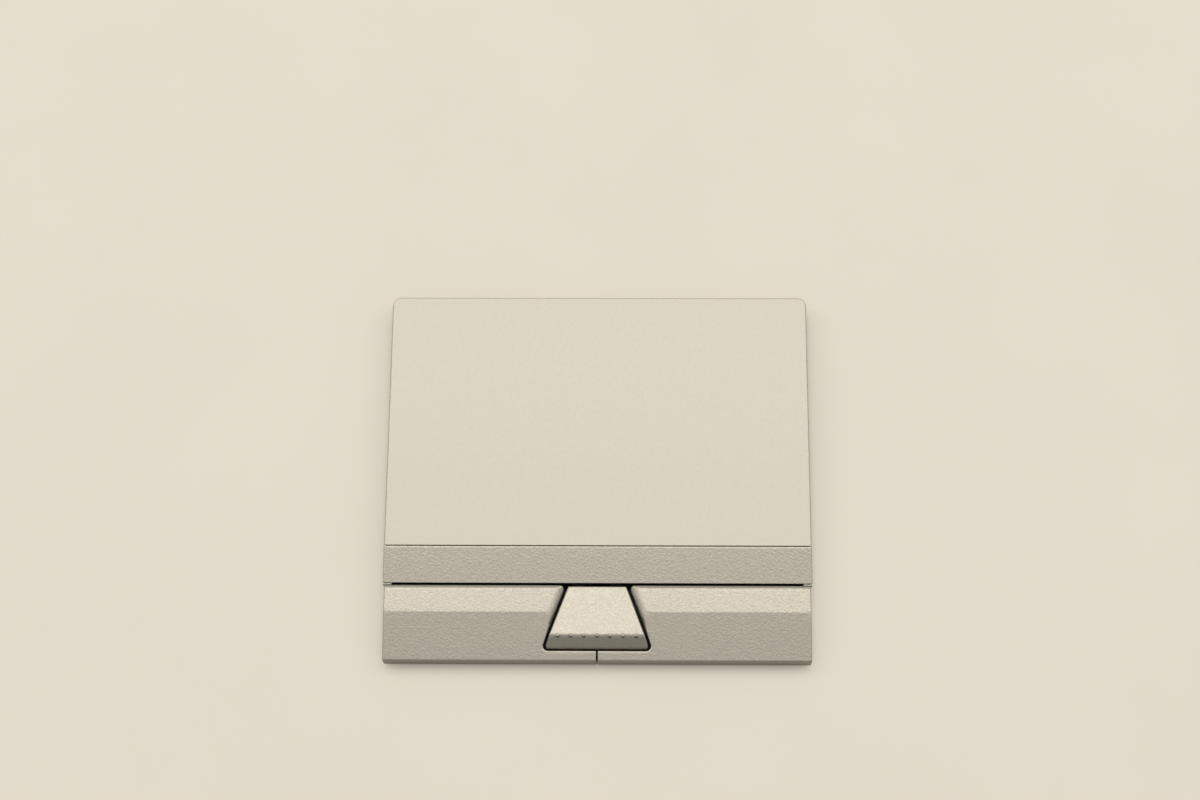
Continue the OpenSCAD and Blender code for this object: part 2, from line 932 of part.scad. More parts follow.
// Profile of the outer buttons in (y, z), moved in from the face by t
module button_profile(t) {
    polygon(rounded_outline(
        [[button_back_y + t, 0], [button_back_y + t, button_top_z - t], [ridge_y, button_top_z - t],
         [keyboard_y - t, button_z(keyboard_y - t) - t], [keyboard_y - t, 0]],
        [0, 0, soft_ridge_r, t > 0 ? 0 : front_edge_r, 0]));
}

// Cut-out round the middle button, in plan, moved out by t
module button_cutout(t) {
    y0 = button_back_y - cut;
    y1 = cutout_front_y + t;
    near = cutout_half(y0) + t;
    far = cutout_half(y1) + t;
    polygon(rounded_outline(
        [[-near, y0], [near, y0], [far, y1], [-far, y1]],
        [0, 0, cutout_corner_r, cutout_corner_r]));
}

// Outer button: silver moulded cap with a skirt, ribs and stakes
module side_cap() {
    color(silver) {
        difference() {
            intersection() {
                along_x(buttons_w)
                    button_profile(0);
                translate([0, 0, cap_skirt_z])
                    linear_extrude(pad_top_z)
                        cap_plan();
            }
            cap_hollow();
            cap_edge_cuts();
        }
        cap_ribs();
        for (at = stake_places())
            post(at, stake_d, lever_z - 0.15, 2.4);
    }
}

// Plan of the outer button: half the row of buttons, less the cut-out
module cap_plan() {
    polygon(rounded_outline(
        [[cutout_half(button_back_y), button_back_y], [buttons_w / 2, button_back_y],
         [buttons_w / 2, keyboard_y], [split_gap / 2, keyboard_y],
         [split_gap / 2, cutout_front_y], [cutout_half(cutout_front_y), cutout_front_y]],
        [cap_inner_corner_r, cap_corner_r, cap_corner_r, 0, 0, cutout_corner_r]));
}

// Hollow under the roof, and the steps that shorten the inner and back walls
module cap_hollow() {
    inner_x = tray_w / 2 + cap_side_gap;
    intersection() {
        along_x(buttons_w)
            button_profile(cap_wall);
        linear_extrude(pad_top_z)
            difference() {
                translate([0, button_back_y])
                    square([inner_x, button_d]);
                button_cutout(middle_wall);
            }
    }
    translate([-cut, button_back_y - cut, 0])
        cube([inner_x + cut, button_d - cap_wall + cut, cap_inner_z]);
    translate([-cut, button_back_y - cut, 0])
        cube([inner_x + cut, cap_wall + 2 * cut, cap_back_z]);
}

// Rounded edges: towards the middle button, along the gap, the web, the split and the side
module cap_edge_cuts() {
    half_w = buttons_w / 2;
    split_x = split_gap / 2;
    web_z = button_z(cutout_front_y);
    corner_clear = 2 * cutout_corner_r;
    inner_end_y = cutout_front_y - corner_clear;
    round_edge([cutout_half(button_back_y), button_back_y, button_top_z],
               [cutout_half(inner_end_y), inner_end_y, button_top_z], inner_edge_r);
    round_edge([half_w, button_back_y, button_top_z], [0, button_back_y, button_top_z], back_edge_r);
    round_edge([cutout_half(cutout_front_y) - corner_clear, cutout_front_y, web_z],
               [0, cutout_front_y, web_z], web_edge_r);
    round_edge([split_x, cutout_front_y, web_z], [split_x, keyboard_y, button_front_z], split_edge_r);
    round_edge([half_w, keyboard_y, button_front_z], [half_w, ridge_y, button_top_z], side_edge_r);
    round_edge([half_w, ridge_y, button_top_z], [half_w, button_back_y, button_top_z], side_edge_r);
}

// Ribs between the roof and the lever
module cap_ribs() {
    rib_t = 0.8;
    for (x = [17.5, 24, 35, 40])
        translate([x, 0, 0])
            along_x(rib_t)
                polygon([[lever_back_y, middle_base_z], [lever_back_y, button_top_z - cap_wall / 2],
                         [ridge_y, button_top_z - cap_wall / 2], [lever_front_y - 1, middle_base_z + 0.9],
                         [lever_front_y - 1, middle_base_z]]);
}

// Stakes of the outer button's cap, through holes in its lever
function stake_places() = [for (x = [19.5, 38]) [x, lever_back_y + 2]];

// Lever of an outer button: plate, two arms with eyes and tails, and a nib
module side_lever() {
    plate_from_x = 13;
    plate_to_x = 41.4;
    plate_w = plate_to_x - plate_from_x;
    plate_d = lever_front_y - lever_back_y;
    color(black)
        difference() {
            union() {
                translate([plate_from_x + plate_w / 2, lever_back_y + plate_d / 2, lever_z])
                    linear_extrude(lever_t)
                        rounded_rect(plate_w, plate_d, 1);
                for (x = [inner_eye_x, outer_eye_x])
                    lever_arm(x, eye_w);
                lever_nib(dome_x);
            }
            on_hinge(0, rod_d + 2 * rod_clearance, pad_w);
            for (at = stake_places())
                post(at, stake_d, 0, pad_top_z);
            for (x = [20.5, 33.5])
                translate([x, lever_back_y + 6, 0])
                    linear_extrude(pad_top_z)
                        rounded_rect(5, 2.6, 0.8);
        }
}

// Arm from the plate to the rod, its eye, and the tail that rests on the rail
module lever_arm(x, w) {
    tail_y = hinge_y - tail_d;
    tail_z = rail_z + tail_gap;
    on_hinge(x, eye_d, w);
    translate([x, 0, 0])
        along_x(w)
            polygon([
                [hinge_y, hinge_z - 0.8],
                [lever_back_y + 0.5, lever_z],
                [lever_back_y + 0.5, middle_base_z],
                [hinge_y, hinge_z + 0.75],
                [tail_y, tail_z + 0.8],
                [tail_y, tail_z],
                [hinge_y - eye_d / 2, tail_z],
            ]);
}

// Nib that presses the snap dome
module lever_nib(x) {
    nib_z = button_board_z + dome_h + nib_gap;
    post([x, dome_y], nib_d, nib_z, lever_z - nib_z + 0.1);
}

// Plan of the middle button, moved in by t
module middle_plan(t) {
    from_y = middle_back_y + t;
    to_y = middle_front_y - t;
    radii = [middle_back_r, middle_back_r, middle_front_r, middle_front_r];
    polygon(rounded_outline(
        [[-middle_half(from_y) + t, from_y], [middle_half(from_y) - t, from_y],
         [middle_half(to_y) - t, to_y], [-middle_half(to_y) + t, to_y]],
        t > 0 ? 0 * radii : radii));
}

// Middle button: a cap that widens and rises to a ridge, then falls in a bevel
module middle_cap() {
    roof_t = 1.1;
    color(silver) {
        difference() {
            middle_solid(0, middle_base_z);
            translate([0, 0, -roof_t])
                middle_solid(middle_wall, middle_base_z);
            both_sides()
                middle_edge_cuts();
        }
        ridge_bumps();
    }
}

// Body of the middle cap, its plan moved in by t
module middle_solid(t, z) {
    intersection() {
        along_x(pad_w)
            polygon(rounded_outline(
                [[middle_back_y, z], [middle_back_y, middle_back_z],
                 [middle_ridge_y, middle_ridge_z], [middle_front_y, middle_foot_z],
                 [middle_front_y, z]],
                [0, middle_end_r, middle_ridge_r, middle_end_r, 0]));
        linear_extrude(2 * pad_top_z)
            middle_plan(t);
    }
}

// Rounded side edges of the middle cap's top and of its bevel
module middle_edge_cuts() {
    back = [middle_half(middle_back_y), middle_back_y, middle_back_z];
    ridge = [middle_half(middle_ridge_y), middle_ridge_y, middle_ridge_z];
    foot = [middle_half(middle_front_y), middle_front_y, middle_foot_z];
    round_edge(ridge, back, middle_edge_r);
    round_edge(foot, ridge, middle_edge_r);
}

// Row of round bumps on the ridge, for the fingertip
module ridge_bumps() {
    sink = 0.3;
    for (i = [0 : bump_count - 1])
        translate([(i - (bump_count - 1) / 2) * bump_pitch, middle_ridge_y + 0.1, middle_ridge_z - sink])
            sphere(d = bump_d);
}

// Lever of the middle button, with its arms inside the cap's width
module middle_lever() {
    plan_inset = 0.5;
    color(black)
        difference() {
            union() {
                translate([0, 0, lever_z])
                    linear_extrude(lever_t)
                        intersection() {
                            middle_plan(plan_inset);
                            translate([-pad_w / 2, 0])
                                square([pad_w, lever_front_y + 1]);
                        }
                for (side = [-1, 1])
                    lever_arm(side * middle_eye_x, middle_eye_w);
                lever_nib(0);
            }
            on_hinge(0, rod_d + 2 * rod_clearance, pad_w);
        }
}

support_tray();
insulating_film();
mount_insert(insert_places[0]);  // mount_insert_1
mount_insert(insert_places[1]);  // mount_insert_2
mount_insert(insert_places[2]);  // mount_insert_3
mount_insert(insert_places[3]);  // mount_insert_4
base_screw(screw_places[0]);  // base_screw_1
base_screw(screw_places[1]);  // base_screw_2
base_screw(screw_places[2]);  // base_screw_3
base_screw(screw_places[3]);  // base_screw_4
bumper(-1);  // left_bumper
bumper(1);  // right_bumper
button_base();
hinge_rod();
button_board();
dome_tape();
snap_dome(-dome_x);  // left_dome
snap_dome(0);  // middle_dome
snap_dome(dome_x);  // right_dome
board_flex();
touch_overlay();
overlay_adhesive();
sensor_board();
pad_trim();
pad_frame();
stiffener_plate();
touch_controller();
capacitor(capacitor_xs[0]);  // capacitor_1
capacitor(capacitor_xs[1]);  // capacitor_2
capacitor(capacitor_xs[2]);  // capacitor_3
capacitor(capacitor_xs[3]);  // capacitor_4
host_socket();
flex_socket();
click_switch();
click_plunger();
socket_latch();
mirror([1, 0, 0]) side_cap();  // left_cap
mirror([1, 0, 0]) side_lever();  // left_lever
middle_cap();
middle_lever();
side_cap();  // right_cap
side_lever();  // right_lever
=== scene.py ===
"""Looks of a laptop trackpad module: a click pad and three pointing-stick buttons on a pressed tray.

Sizes in the sections are millimetres in the part's own frame: +X to the user's right,
+Y away from the user towards the keyboard, +Z up, origin at the middle of the underside.
"""
import math

import bmesh
import bpy
import numpy as np
from mathutils import Matrix
from mathutils.geometry import delaunay_2d_cdt


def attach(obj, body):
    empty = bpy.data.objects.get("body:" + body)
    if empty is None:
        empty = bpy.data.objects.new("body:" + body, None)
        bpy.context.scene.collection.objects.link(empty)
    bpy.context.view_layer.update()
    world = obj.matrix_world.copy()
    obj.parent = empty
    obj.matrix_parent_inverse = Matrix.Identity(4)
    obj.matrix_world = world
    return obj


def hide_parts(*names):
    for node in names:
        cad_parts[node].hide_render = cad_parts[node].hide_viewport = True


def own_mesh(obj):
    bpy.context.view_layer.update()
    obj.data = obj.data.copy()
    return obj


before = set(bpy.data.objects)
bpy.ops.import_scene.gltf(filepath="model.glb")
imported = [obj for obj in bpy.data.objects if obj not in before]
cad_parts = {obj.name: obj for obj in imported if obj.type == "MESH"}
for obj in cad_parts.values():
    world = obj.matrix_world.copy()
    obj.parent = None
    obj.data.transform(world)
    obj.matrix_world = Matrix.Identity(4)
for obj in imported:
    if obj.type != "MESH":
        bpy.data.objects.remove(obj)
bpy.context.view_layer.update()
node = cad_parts


# Support tray
# Sheet steel 0.6 mm thick, pressed into a shallow tray with two beads and a raised seat for the
# click switch. It is dip-coated black, so its edges are soft and its skin has a faint orange peel.

def finish(name, colour, roughness, metallic=0.0):
    """Material with a Principled shader; returns it with its tree, shader and Object coordinates."""
    material = bpy.data.materials.new(name)
    material.use_nodes = True
    tree = material.node_tree
    shader = tree.nodes["Principled BSDF"]
    shader.inputs["Base Color"].default_value = (*colour, 1)
    shader.inputs["Roughness"].default_value = roughness
    shader.inputs["Metallic"].default_value = metallic
    return material, tree, shader, tree.nodes.new("ShaderNodeTexCoord").outputs["Object"]


def speckle(tree, place, per_mm, detail=2.0, roughness=0.5, stretch=(1, 1, 1)):
    """Noise with so many features to the millimetre, drawn out along each axis by stretch."""
    mapping = tree.nodes.new("ShaderNodeMapping")
    mapping.inputs["Scale"].default_value = [1000 / s for s in stretch]
    noise = tree.nodes.new("ShaderNodeTexNoise")
    noise.inputs["Scale"].default_value = per_mm
    noise.inputs["Detail"].default_value = detail
    noise.inputs["Roughness"].default_value = roughness
    tree.links.new(place, mapping.inputs["Vector"])
    tree.links.new(mapping.outputs["Vector"], noise.inputs["Vector"])
    return noise.outputs["Fac"]


def shade(tree, factor, stops, socket):
    """Sends a factor through a ramp of (place, colour or grey) stops into a shader's socket."""
    ramp = tree.nodes.new("ShaderNodeValToRGB")
    for i, (at, colour) in enumerate(stops):
        stop = ramp.color_ramp.elements[i] if i < 2 else ramp.color_ramp.elements.new(at)
        stop.position = at
        stop.color = (*colour, 1) if isinstance(colour, tuple) else (colour, colour, colour, 1)
    tree.links.new(factor, ramp.inputs["Fac"])
    tree.links.new(ramp.outputs["Color"], socket)


def relief(tree, height, depth_mm, shader, strength=1.0):
    """Bump of a given depth in millimetres from a factor."""
    bump = tree.nodes.new("ShaderNodeBump")
    bump.inputs["Strength"].default_value = strength
    bump.inputs["Distance"].default_value = depth_mm / 1000
    tree.links.new(height, bump.inputs["Height"])
    tree.links.new(bump.outputs["Normal"], shader.inputs["Normal"])


def dress(material, *names):
    """Gives a carried-over CAD node its finish."""
    for name in names:
        node[name].data.materials.clear()
        node[name].data.materials.append(material)


black_coat, tree, shader, place = finish("black_coat", (0.012, 0.012, 0.013), roughness=0.42)
shade(tree, speckle(tree, place, 0.35, detail=6, roughness=0.65),
      [(0.3, (0.010, 0.010, 0.011)), (0.75, (0.020, 0.020, 0.021))], shader.inputs["Base Color"])
shade(tree, speckle(tree, place, 1.4, detail=4), [(0.3, 0.36), (0.7, 0.52)], shader.inputs["Roughness"])
relief(tree, speckle(tree, place, 2.2, detail=3), 0.012, shader, strength=0.5)
dress(black_coat, "support_tray")


# Insulating film
# Thin black polyester film laid over the tray's floor so that the board cannot short on it.
# It is die-cut and slightly wavy.

film, tree, shader, place = finish("black_polyester", (0.016, 0.016, 0.017), roughness=0.3)
relief(tree, speckle(tree, place, 0.12, detail=2), 0.15, shader, strength=0.4)
shade(tree, speckle(tree, place, 0.8, detail=3), [(0.3, 0.24), (0.7, 0.4)], shader.inputs["Roughness"])
dress(film, "insulating_film")


# Mounting inserts
# Turned steel inserts, zinc plated, clinched into the tray and tapped for the screws that hold
# the module in the laptop.

zinc, tree, shader, place = finish("zinc_plate", (0.6, 0.6, 0.58), roughness=0.34, metallic=1.0)
shade(tree, speckle(tree, place, 1.8, detail=4, roughness=0.6),
      [(0.3, (0.47, 0.47, 0.46)), (0.7, (0.68, 0.67, 0.63))], shader.inputs["Base Color"])
shade(tree, speckle(tree, place, 3, detail=3, roughness=0.6, stretch=(1, 1, 0.2)),
      [(0.3, 0.28), (0.7, 0.48)], shader.inputs["Roughness"])
dress(zinc, "mount_insert_1", "mount_insert_2", "mount_insert_3", "mount_insert_4")


# Base screws
# Small countersunk steel screws with a cross recess, blackened in an oxide bath. They hold the
# button base to the tray.

oxide, tree, shader, place = finish("black_oxide", (0.05, 0.05, 0.055), roughness=0.36, metallic=1.0)
shade(tree, speckle(tree, place, 5, detail=3), [(0.35, (0.04, 0.04, 0.043)), (0.7, (0.1, 0.1, 0.105))],
      shader.inputs["Base Color"])
dress(oxide, "base_screw_1", "base_screw_2", "base_screw_3", "base_screw_4")


# Bumpers
# Soft moulded rubber stops, black, glued down under the user's end of the pad. They end its
# travel quietly.

rubber, tree, shader, place = finish("black_rubber", (0.018, 0.018, 0.018), roughness=0.8)
shade(tree, speckle(tree, place, 6, detail=3),
      [(0.3, (0.013, 0.013, 0.013)), (0.7, (0.03, 0.03, 0.029))], shader.inputs["Base Color"])
relief(tree, speckle(tree, place, 9, detail=2), 0.01, shader, strength=0.6)
dress(rubber, "left_bumper", "right_bumper")


# Button base, pad frame and levers
# Injection-moulded black nylon with glass fibre: a fine spark-eroded grain, slightly streaked.
# The base is screwed to the tray, and each cap is staked to its lever.

nylon, tree, shader, place = finish("black_nylon", (0.014, 0.014, 0.014), roughness=0.55)
shade(tree, speckle(tree, place, 0.5, detail=5, roughness=0.6, stretch=(1, 3, 1)),
      [(0.3, (0.010, 0.010, 0.010)), (0.7, (0.022, 0.022, 0.023))], shader.inputs["Base Color"])
relief(tree, speckle(tree, place, 8, detail=3), 0.015, shader, strength=0.6)
dress(nylon, "button_base", "pad_frame", "left_lever", "middle_lever", "right_lever")


# Hinge rod
# Ground stainless rod, cut to length and pressed into the lugs of the button base. The pad and
# all three buttons turn on it.

ground, tree, shader, place = finish("ground_steel", (0.62, 0.62, 0.62), roughness=0.22, metallic=1.0)
shade(tree, speckle(tree, place, 1.2, detail=4, roughness=0.6, stretch=(0.15, 1, 1)),
      [(0.3, 0.16), (0.7, 0.34)], shader.inputs["Roughness"])
shade(tree, speckle(tree, place, 0.6, detail=2), [(0.3, (0.55, 0.55, 0.55)), (0.7, (0.68, 0.68, 0.67))],
      shader.inputs["Base Color"])
dress(ground, "hinge_rod")


# Boards
# Glass-epoxy boards. The sensor board has dark green solder mask; the weave shows faintly through
# it, and small plated holes are scattered over it. The button board is masked black.

mask_green, tree, shader, place = finish("solder_mask", (0.01, 0.05, 0.03), roughness=0.3)
weave = tree.nodes.new("ShaderNodeTexChecker")
weave.inputs["Scale"].default_value = 2200                # checks to the metre
weave.inputs["Color1"].default_value = (0.008, 0.042, 0.026, 1)
weave.inputs["Color2"].default_value = (0.011, 0.055, 0.033, 1)
holes = tree.nodes.new("ShaderNodeTexVoronoi")
holes.inputs["Scale"].default_value = 420                 # cells to the metre, with a hole in each
mix = tree.nodes.new("ShaderNodeMix")
mix.data_type = "RGBA"
mix.inputs["B"].default_value = (0.42, 0.3, 0.12, 1)
in_hole = tree.nodes.new("ShaderNodeMath")
in_hole.operation = "LESS_THAN"
in_hole.inputs[1].default_value = 0.09                    # radius of a hole, in cells
tree.links.new(place, weave.inputs["Vector"])
tree.links.new(place, holes.inputs["Vector"])
tree.links.new(holes.outputs["Distance"], in_hole.inputs[0])
tree.links.new(in_hole.outputs["Value"], mix.inputs["Factor"])
tree.links.new(weave.outputs["Color"], mix.inputs["A"])
tree.links.new(mix.outputs["Result"], shader.inputs["Base Color"])
shade(tree, speckle(tree, place, 1.5, detail=3), [(0.3, 0.24), (0.7, 0.38)], shader.inputs["Roughness"])
dress(mask_green, "sensor_board")

mask_black, tree, shader, place = finish("black_solder_mask", (0.012, 0.013, 0.012), roughness=0.38)
shade(tree, speckle(tree, place, 2, detail=4),
      [(0.3, (0.008, 0.009, 0.008)), (0.7, (0.02, 0.021, 0.02))], shader.inputs["Base Color"])
shade(tree, speckle(tree, place, 1.5, detail=3), [(0.3, 0.3), (0.7, 0.46)], shader.inputs["Roughness"])
dress(mask_black, "button_board")


# Dome tape and overlay adhesive
# Black polyester tape that keeps the domes in place, and the white double-sided adhesive sheet
# that bonds the touch surface to the sensor board.

tape, tree, shader, place = finish("black_tape", (0.018, 0.018, 0.018), roughness=0.45)
shade(tree, speckle(tree, place, 1.2, detail=4),
      [(0.3, (0.012, 0.012, 0.012)), (0.7, (0.027, 0.027, 0.027))], shader.inputs["Base Color"])
relief(tree, speckle(tree, place, 0.5, detail=2), 0.04, shader, strength=0.4)
dress(tape, "dome_tape")

glue, tree, shader, place = finish("adhesive_sheet", (0.8, 0.79, 0.74), roughness=0.6)
shade(tree, speckle(tree, place, 2.5, detail=4), [(0.3, (0.74, 0.73, 0.68)), (0.7, (0.84, 0.83, 0.78))],
      shader.inputs["Base Color"])
relief(tree, speckle(tree, place, 4, detail=2), 0.01, shader, strength=0.5)
dress(glue, "overlay_adhesive")


# Snap domes
# Spring domes pressed from stainless strip 0.1 mm thick, one under each button, kept in place by
# the tape. In use the press of its button flattens one; here they are drawn at rest.

def place_mesh(name, points_mm, faces, material, body, sharp_deg=40, bare=None):
    """Object from points in millimetres and face index lists: doubles merged, smooth but for sharp edges.

    bare is a second material, and a test of the faces' centres in millimetres that says which get it.
    """
    mesh = bpy.data.meshes.new(name)
    mesh.from_pydata((np.asarray(points_mm) / 1000).tolist(), [], faces)
    work = bmesh.new()
    work.from_mesh(mesh)
    bmesh.ops.remove_doubles(work, verts=work.verts, dist=2e-6)
    bmesh.ops.dissolve_degenerate(work, edges=work.edges, dist=1e-7)
    work.to_mesh(mesh)
    work.free()
    mesh.polygons.foreach_set("use_smooth", np.ones(len(mesh.polygons), bool))
    mesh.set_sharp_from_angle(angle=math.radians(sharp_deg))
    mesh.materials.append(material)
    if bare:
        bare_material, is_bare = bare
        mesh.materials.append(bare_material)
        centre = np.empty(3 * len(mesh.polygons))
        mesh.polygons.foreach_get("center", centre)
        x, y, z = centre.reshape(-1, 3).T * 1000
        mesh.polygons.foreach_set("material_index", is_bare(x, y, z).astype(np.int32))
    piece = bpy.data.objects.new(name, mesh)
    bpy.context.scene.collection.objects.link(piece)
    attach(piece, body)
    return piece


def grid_faces(rows, columns, closed=True):
    """Quads of a grid of points stored row by row, its columns joined up into loops if closed."""
    r, c = np.meshgrid(np.arange(rows - 1), np.arange(columns if closed else columns - 1), indexing="ij")
    a = r * columns + c
    b = r * columns + (c + 1) % columns
    return np.stack([a, a + columns, b + columns, b], -1).reshape(-1, 4).tolist()


def turned(radius, height, centre, segments=48):
    """Surface of revolution: the profile (radius, height), top first, carried round a vertical axis."""
    turn = np.linspace(0, 2 * np.pi, segments, endpoint=False)
    x = centre[0] + np.outer(radius, np.cos(turn))
    y = centre[1] + np.outer(radius, np.sin(turn))
    z = np.repeat(np.asarray(height)[:, None], segments, 1)
    return np.stack([x, y, z], -1).reshape(-1, 3), grid_faces(len(radius), segments)


spring_steel, tree, shader, place = finish("spring_steel", (0.62, 0.61, 0.59), roughness=0.26, metallic=1.0)
shade(tree, speckle(tree, place, 2, detail=4, roughness=0.6, stretch=(4, 1, 1)),
      [(0.3, 0.2), (0.7, 0.36)], shader.inputs["Roughness"])
shade(tree, speckle(tree, place, 1.2, detail=3), [(0.3, (0.55, 0.54, 0.52)), (0.7, (0.68, 0.67, 0.65))],
      shader.inputs["Base Color"])

dome_r, dome_h, dome_t = 2.5, 0.4, 0.1                   # radius, height, thickness
ring_r, ring_wide, ring_deep = 0.55, 0.2, 0.03           # shallow ring round the crown
inner_share = 0.96                                       # the underside's radius against the top's
dome_x, dome_y, board_z = 26, 31.2, 1.6                  # places of the outer two, and their board's top

r = np.linspace(0, dome_r, 16)
crown = dome_h * (1 - (r / dome_r) ** 2) - ring_deep * np.exp(-((r - ring_r) / ring_wide) ** 2)
profile_r = np.concatenate([r, r[::-1] * inner_share])
profile_z = np.concatenate([np.maximum(crown, 0.0), np.maximum(crown[::-1] - dome_t, 0.0)]) + board_z
for side, name in ((-1, "left"), (0, "middle"), (1, "right")):
    points, faces = turned(profile_r, profile_z, (dome_x * side, dome_y))
    dome = place_mesh(f"{name}_snap_dome", points, faces, spring_steel, "base")
    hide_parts(f"{name}_dome")
    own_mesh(dome)


# Flat cable between the boards
# Polyimide film with black cover layers; the copper lines inside show as faint ridges. It is
# soldered to the button board and plugged in under the pad.

polyimide, tree, shader, place = finish("black_flex", (0.02, 0.018, 0.016), roughness=0.4)
lines = tree.nodes.new("ShaderNodeTexWave")
lines.inputs["Scale"].default_value = 340
lines.inputs["Distortion"].default_value = 0
tree.links.new(place, lines.inputs["Vector"])
shade(tree, lines.outputs["Fac"], [(0.4, (0.014, 0.013, 0.012)), (0.6, (0.034, 0.029, 0.024))],
      shader.inputs["Base Color"])
relief(tree, lines.outputs["Fac"], 0.01, shader, strength=0.5)
dress(polyimide, "board_flex")


# Stiffener plate and click switch
# Rolled stainless sheet laser-cut to shape and glued under the board; the switch is a low
# steel can with four pressed dimples.

rolled, tree, shader, place = finish("rolled_steel", (0.55, 0.55, 0.54), roughness=0.36, metallic=1.0)
shade(tree, speckle(tree, place, 1.5, detail=5, roughness=0.6, stretch=(0.08, 1, 1)),
      [(0.3, (0.46, 0.46, 0.45)), (0.7, (0.62, 0.62, 0.6))], shader.inputs["Base Color"])
shade(tree, speckle(tree, place, 2.5, detail=4, roughness=0.6, stretch=(0.06, 1, 1)),
      [(0.3, 0.28), (0.7, 0.46)], shader.inputs["Roughness"])
dress(rolled, "stiffener_plate", "click_switch")


# Click plunger
# Short black plunger of the click switch, with a rounded end. It meets the tray's raised seat
# and is driven in when the pad clicks.

acetal, tree, shader, place = finish("black_acetal", (0.02, 0.02, 0.02), roughness=0.35)
shade(tree, speckle(tree, place, 5, detail=3), [(0.3, 0.28), (0.7, 0.45)], shader.inputs["Roughness"])
relief(tree, speckle(tree, place, 7, detail=2), 0.004, shader, strength=0.4)

plunger_y, can_z, tip_z = -33, 3.3, 2.75                 # place, underside of the switch, lower end
radius = [0.0, 1.0, 1.0, 0.95, 0.8, 0.0]
height = [can_z, can_z, tip_z + 0.13, tip_z + 0.05, tip_z, tip_z]
points, faces = turned(radius, height, (0, plunger_y))
plunger = place_mesh("switch_plunger", points, faces, acetal, "click_pad")
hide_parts("click_plunger")
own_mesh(plunger)


# Parts on the sensor board
# A moulded black chip that reads the touch surface, and four small ceramic capacitors. All are
# soldered to the underside of the board.

epoxy, tree, shader, place = finish("chip_epoxy", (0.02, 0.02, 0.021), roughness=0.5)
shade(tree, speckle(tree, place, 7, detail=4),
      [(0.35, (0.014, 0.014, 0.015)), (0.7, (0.034, 0.034, 0.035))], shader.inputs["Base Color"])
relief(tree, speckle(tree, place, 12, detail=2), 0.006, shader, strength=0.6)
dress(epoxy, "touch_controller")

ceramic, tree, shader, place = finish("capacitor_ceramic", (0.45, 0.33, 0.2), roughness=0.4)
shade(tree, speckle(tree, place, 4, detail=3), [(0.3, (0.38, 0.27, 0.16)), (0.7, (0.52, 0.39, 0.25))],
      shader.inputs["Base Color"])
dress(ceramic, "capacitor_1", "capacitor_2", "capacitor_3", "capacitor_4")


# Cable sockets and flip lock
# Ivory high-temperature plastic sockets soldered to the board; the host socket has a black
# flip lock that clamps the flat cable.

ivory, tree, shader, place = finish("ivory_socket", (0.72, 0.66, 0.52), roughness=0.42)
shade(tree, speckle(tree, place, 1.6, detail=4, roughness=0.6, stretch=(3, 1, 1)),
      [(0.3, (0.66, 0.6, 0.46)), (0.7, (0.77, 0.71, 0.57))], shader.inputs["Base Color"])
relief(tree, speckle(tree, place, 10, detail=2), 0.006, shader, strength=0.5)
dress(ivory, "host_socket", "flex_socket")

lock_black, tree, shader, place = finish("lock_black", (0.022, 0.02, 0.018), roughness=0.4)
shade(tree, speckle(tree, place, 3, detail=4),
      [(0.3, (0.016, 0.014, 0.012)), (0.7, (0.04, 0.036, 0.032))], shader.inputs["Base Color"])
relief(tree, speckle(tree, place, 10, detail=2), 0.006, shader, strength=0.5)
dress(lock_black, "socket_latch")


# Touch surface
# Coated sheet bonded over the sensor board: a fine matt silver coat with a soft hand, its edge
# rounded over, with two round corners towards the user.

ARC = 8                                     # steps round a corner of a plan
STRAIGHT = 0.02                             # a smaller turn, in radians, counts as no corner
LEAST_R = 0.02                              # least radius of a rounded corner
QUARTER = np.linspace(0, np.pi / 2, 9)      # stations over a rounded edge, from its top to its side
FILL_CLEAR = 0.2                            # how far a fill's own points keep from the outline


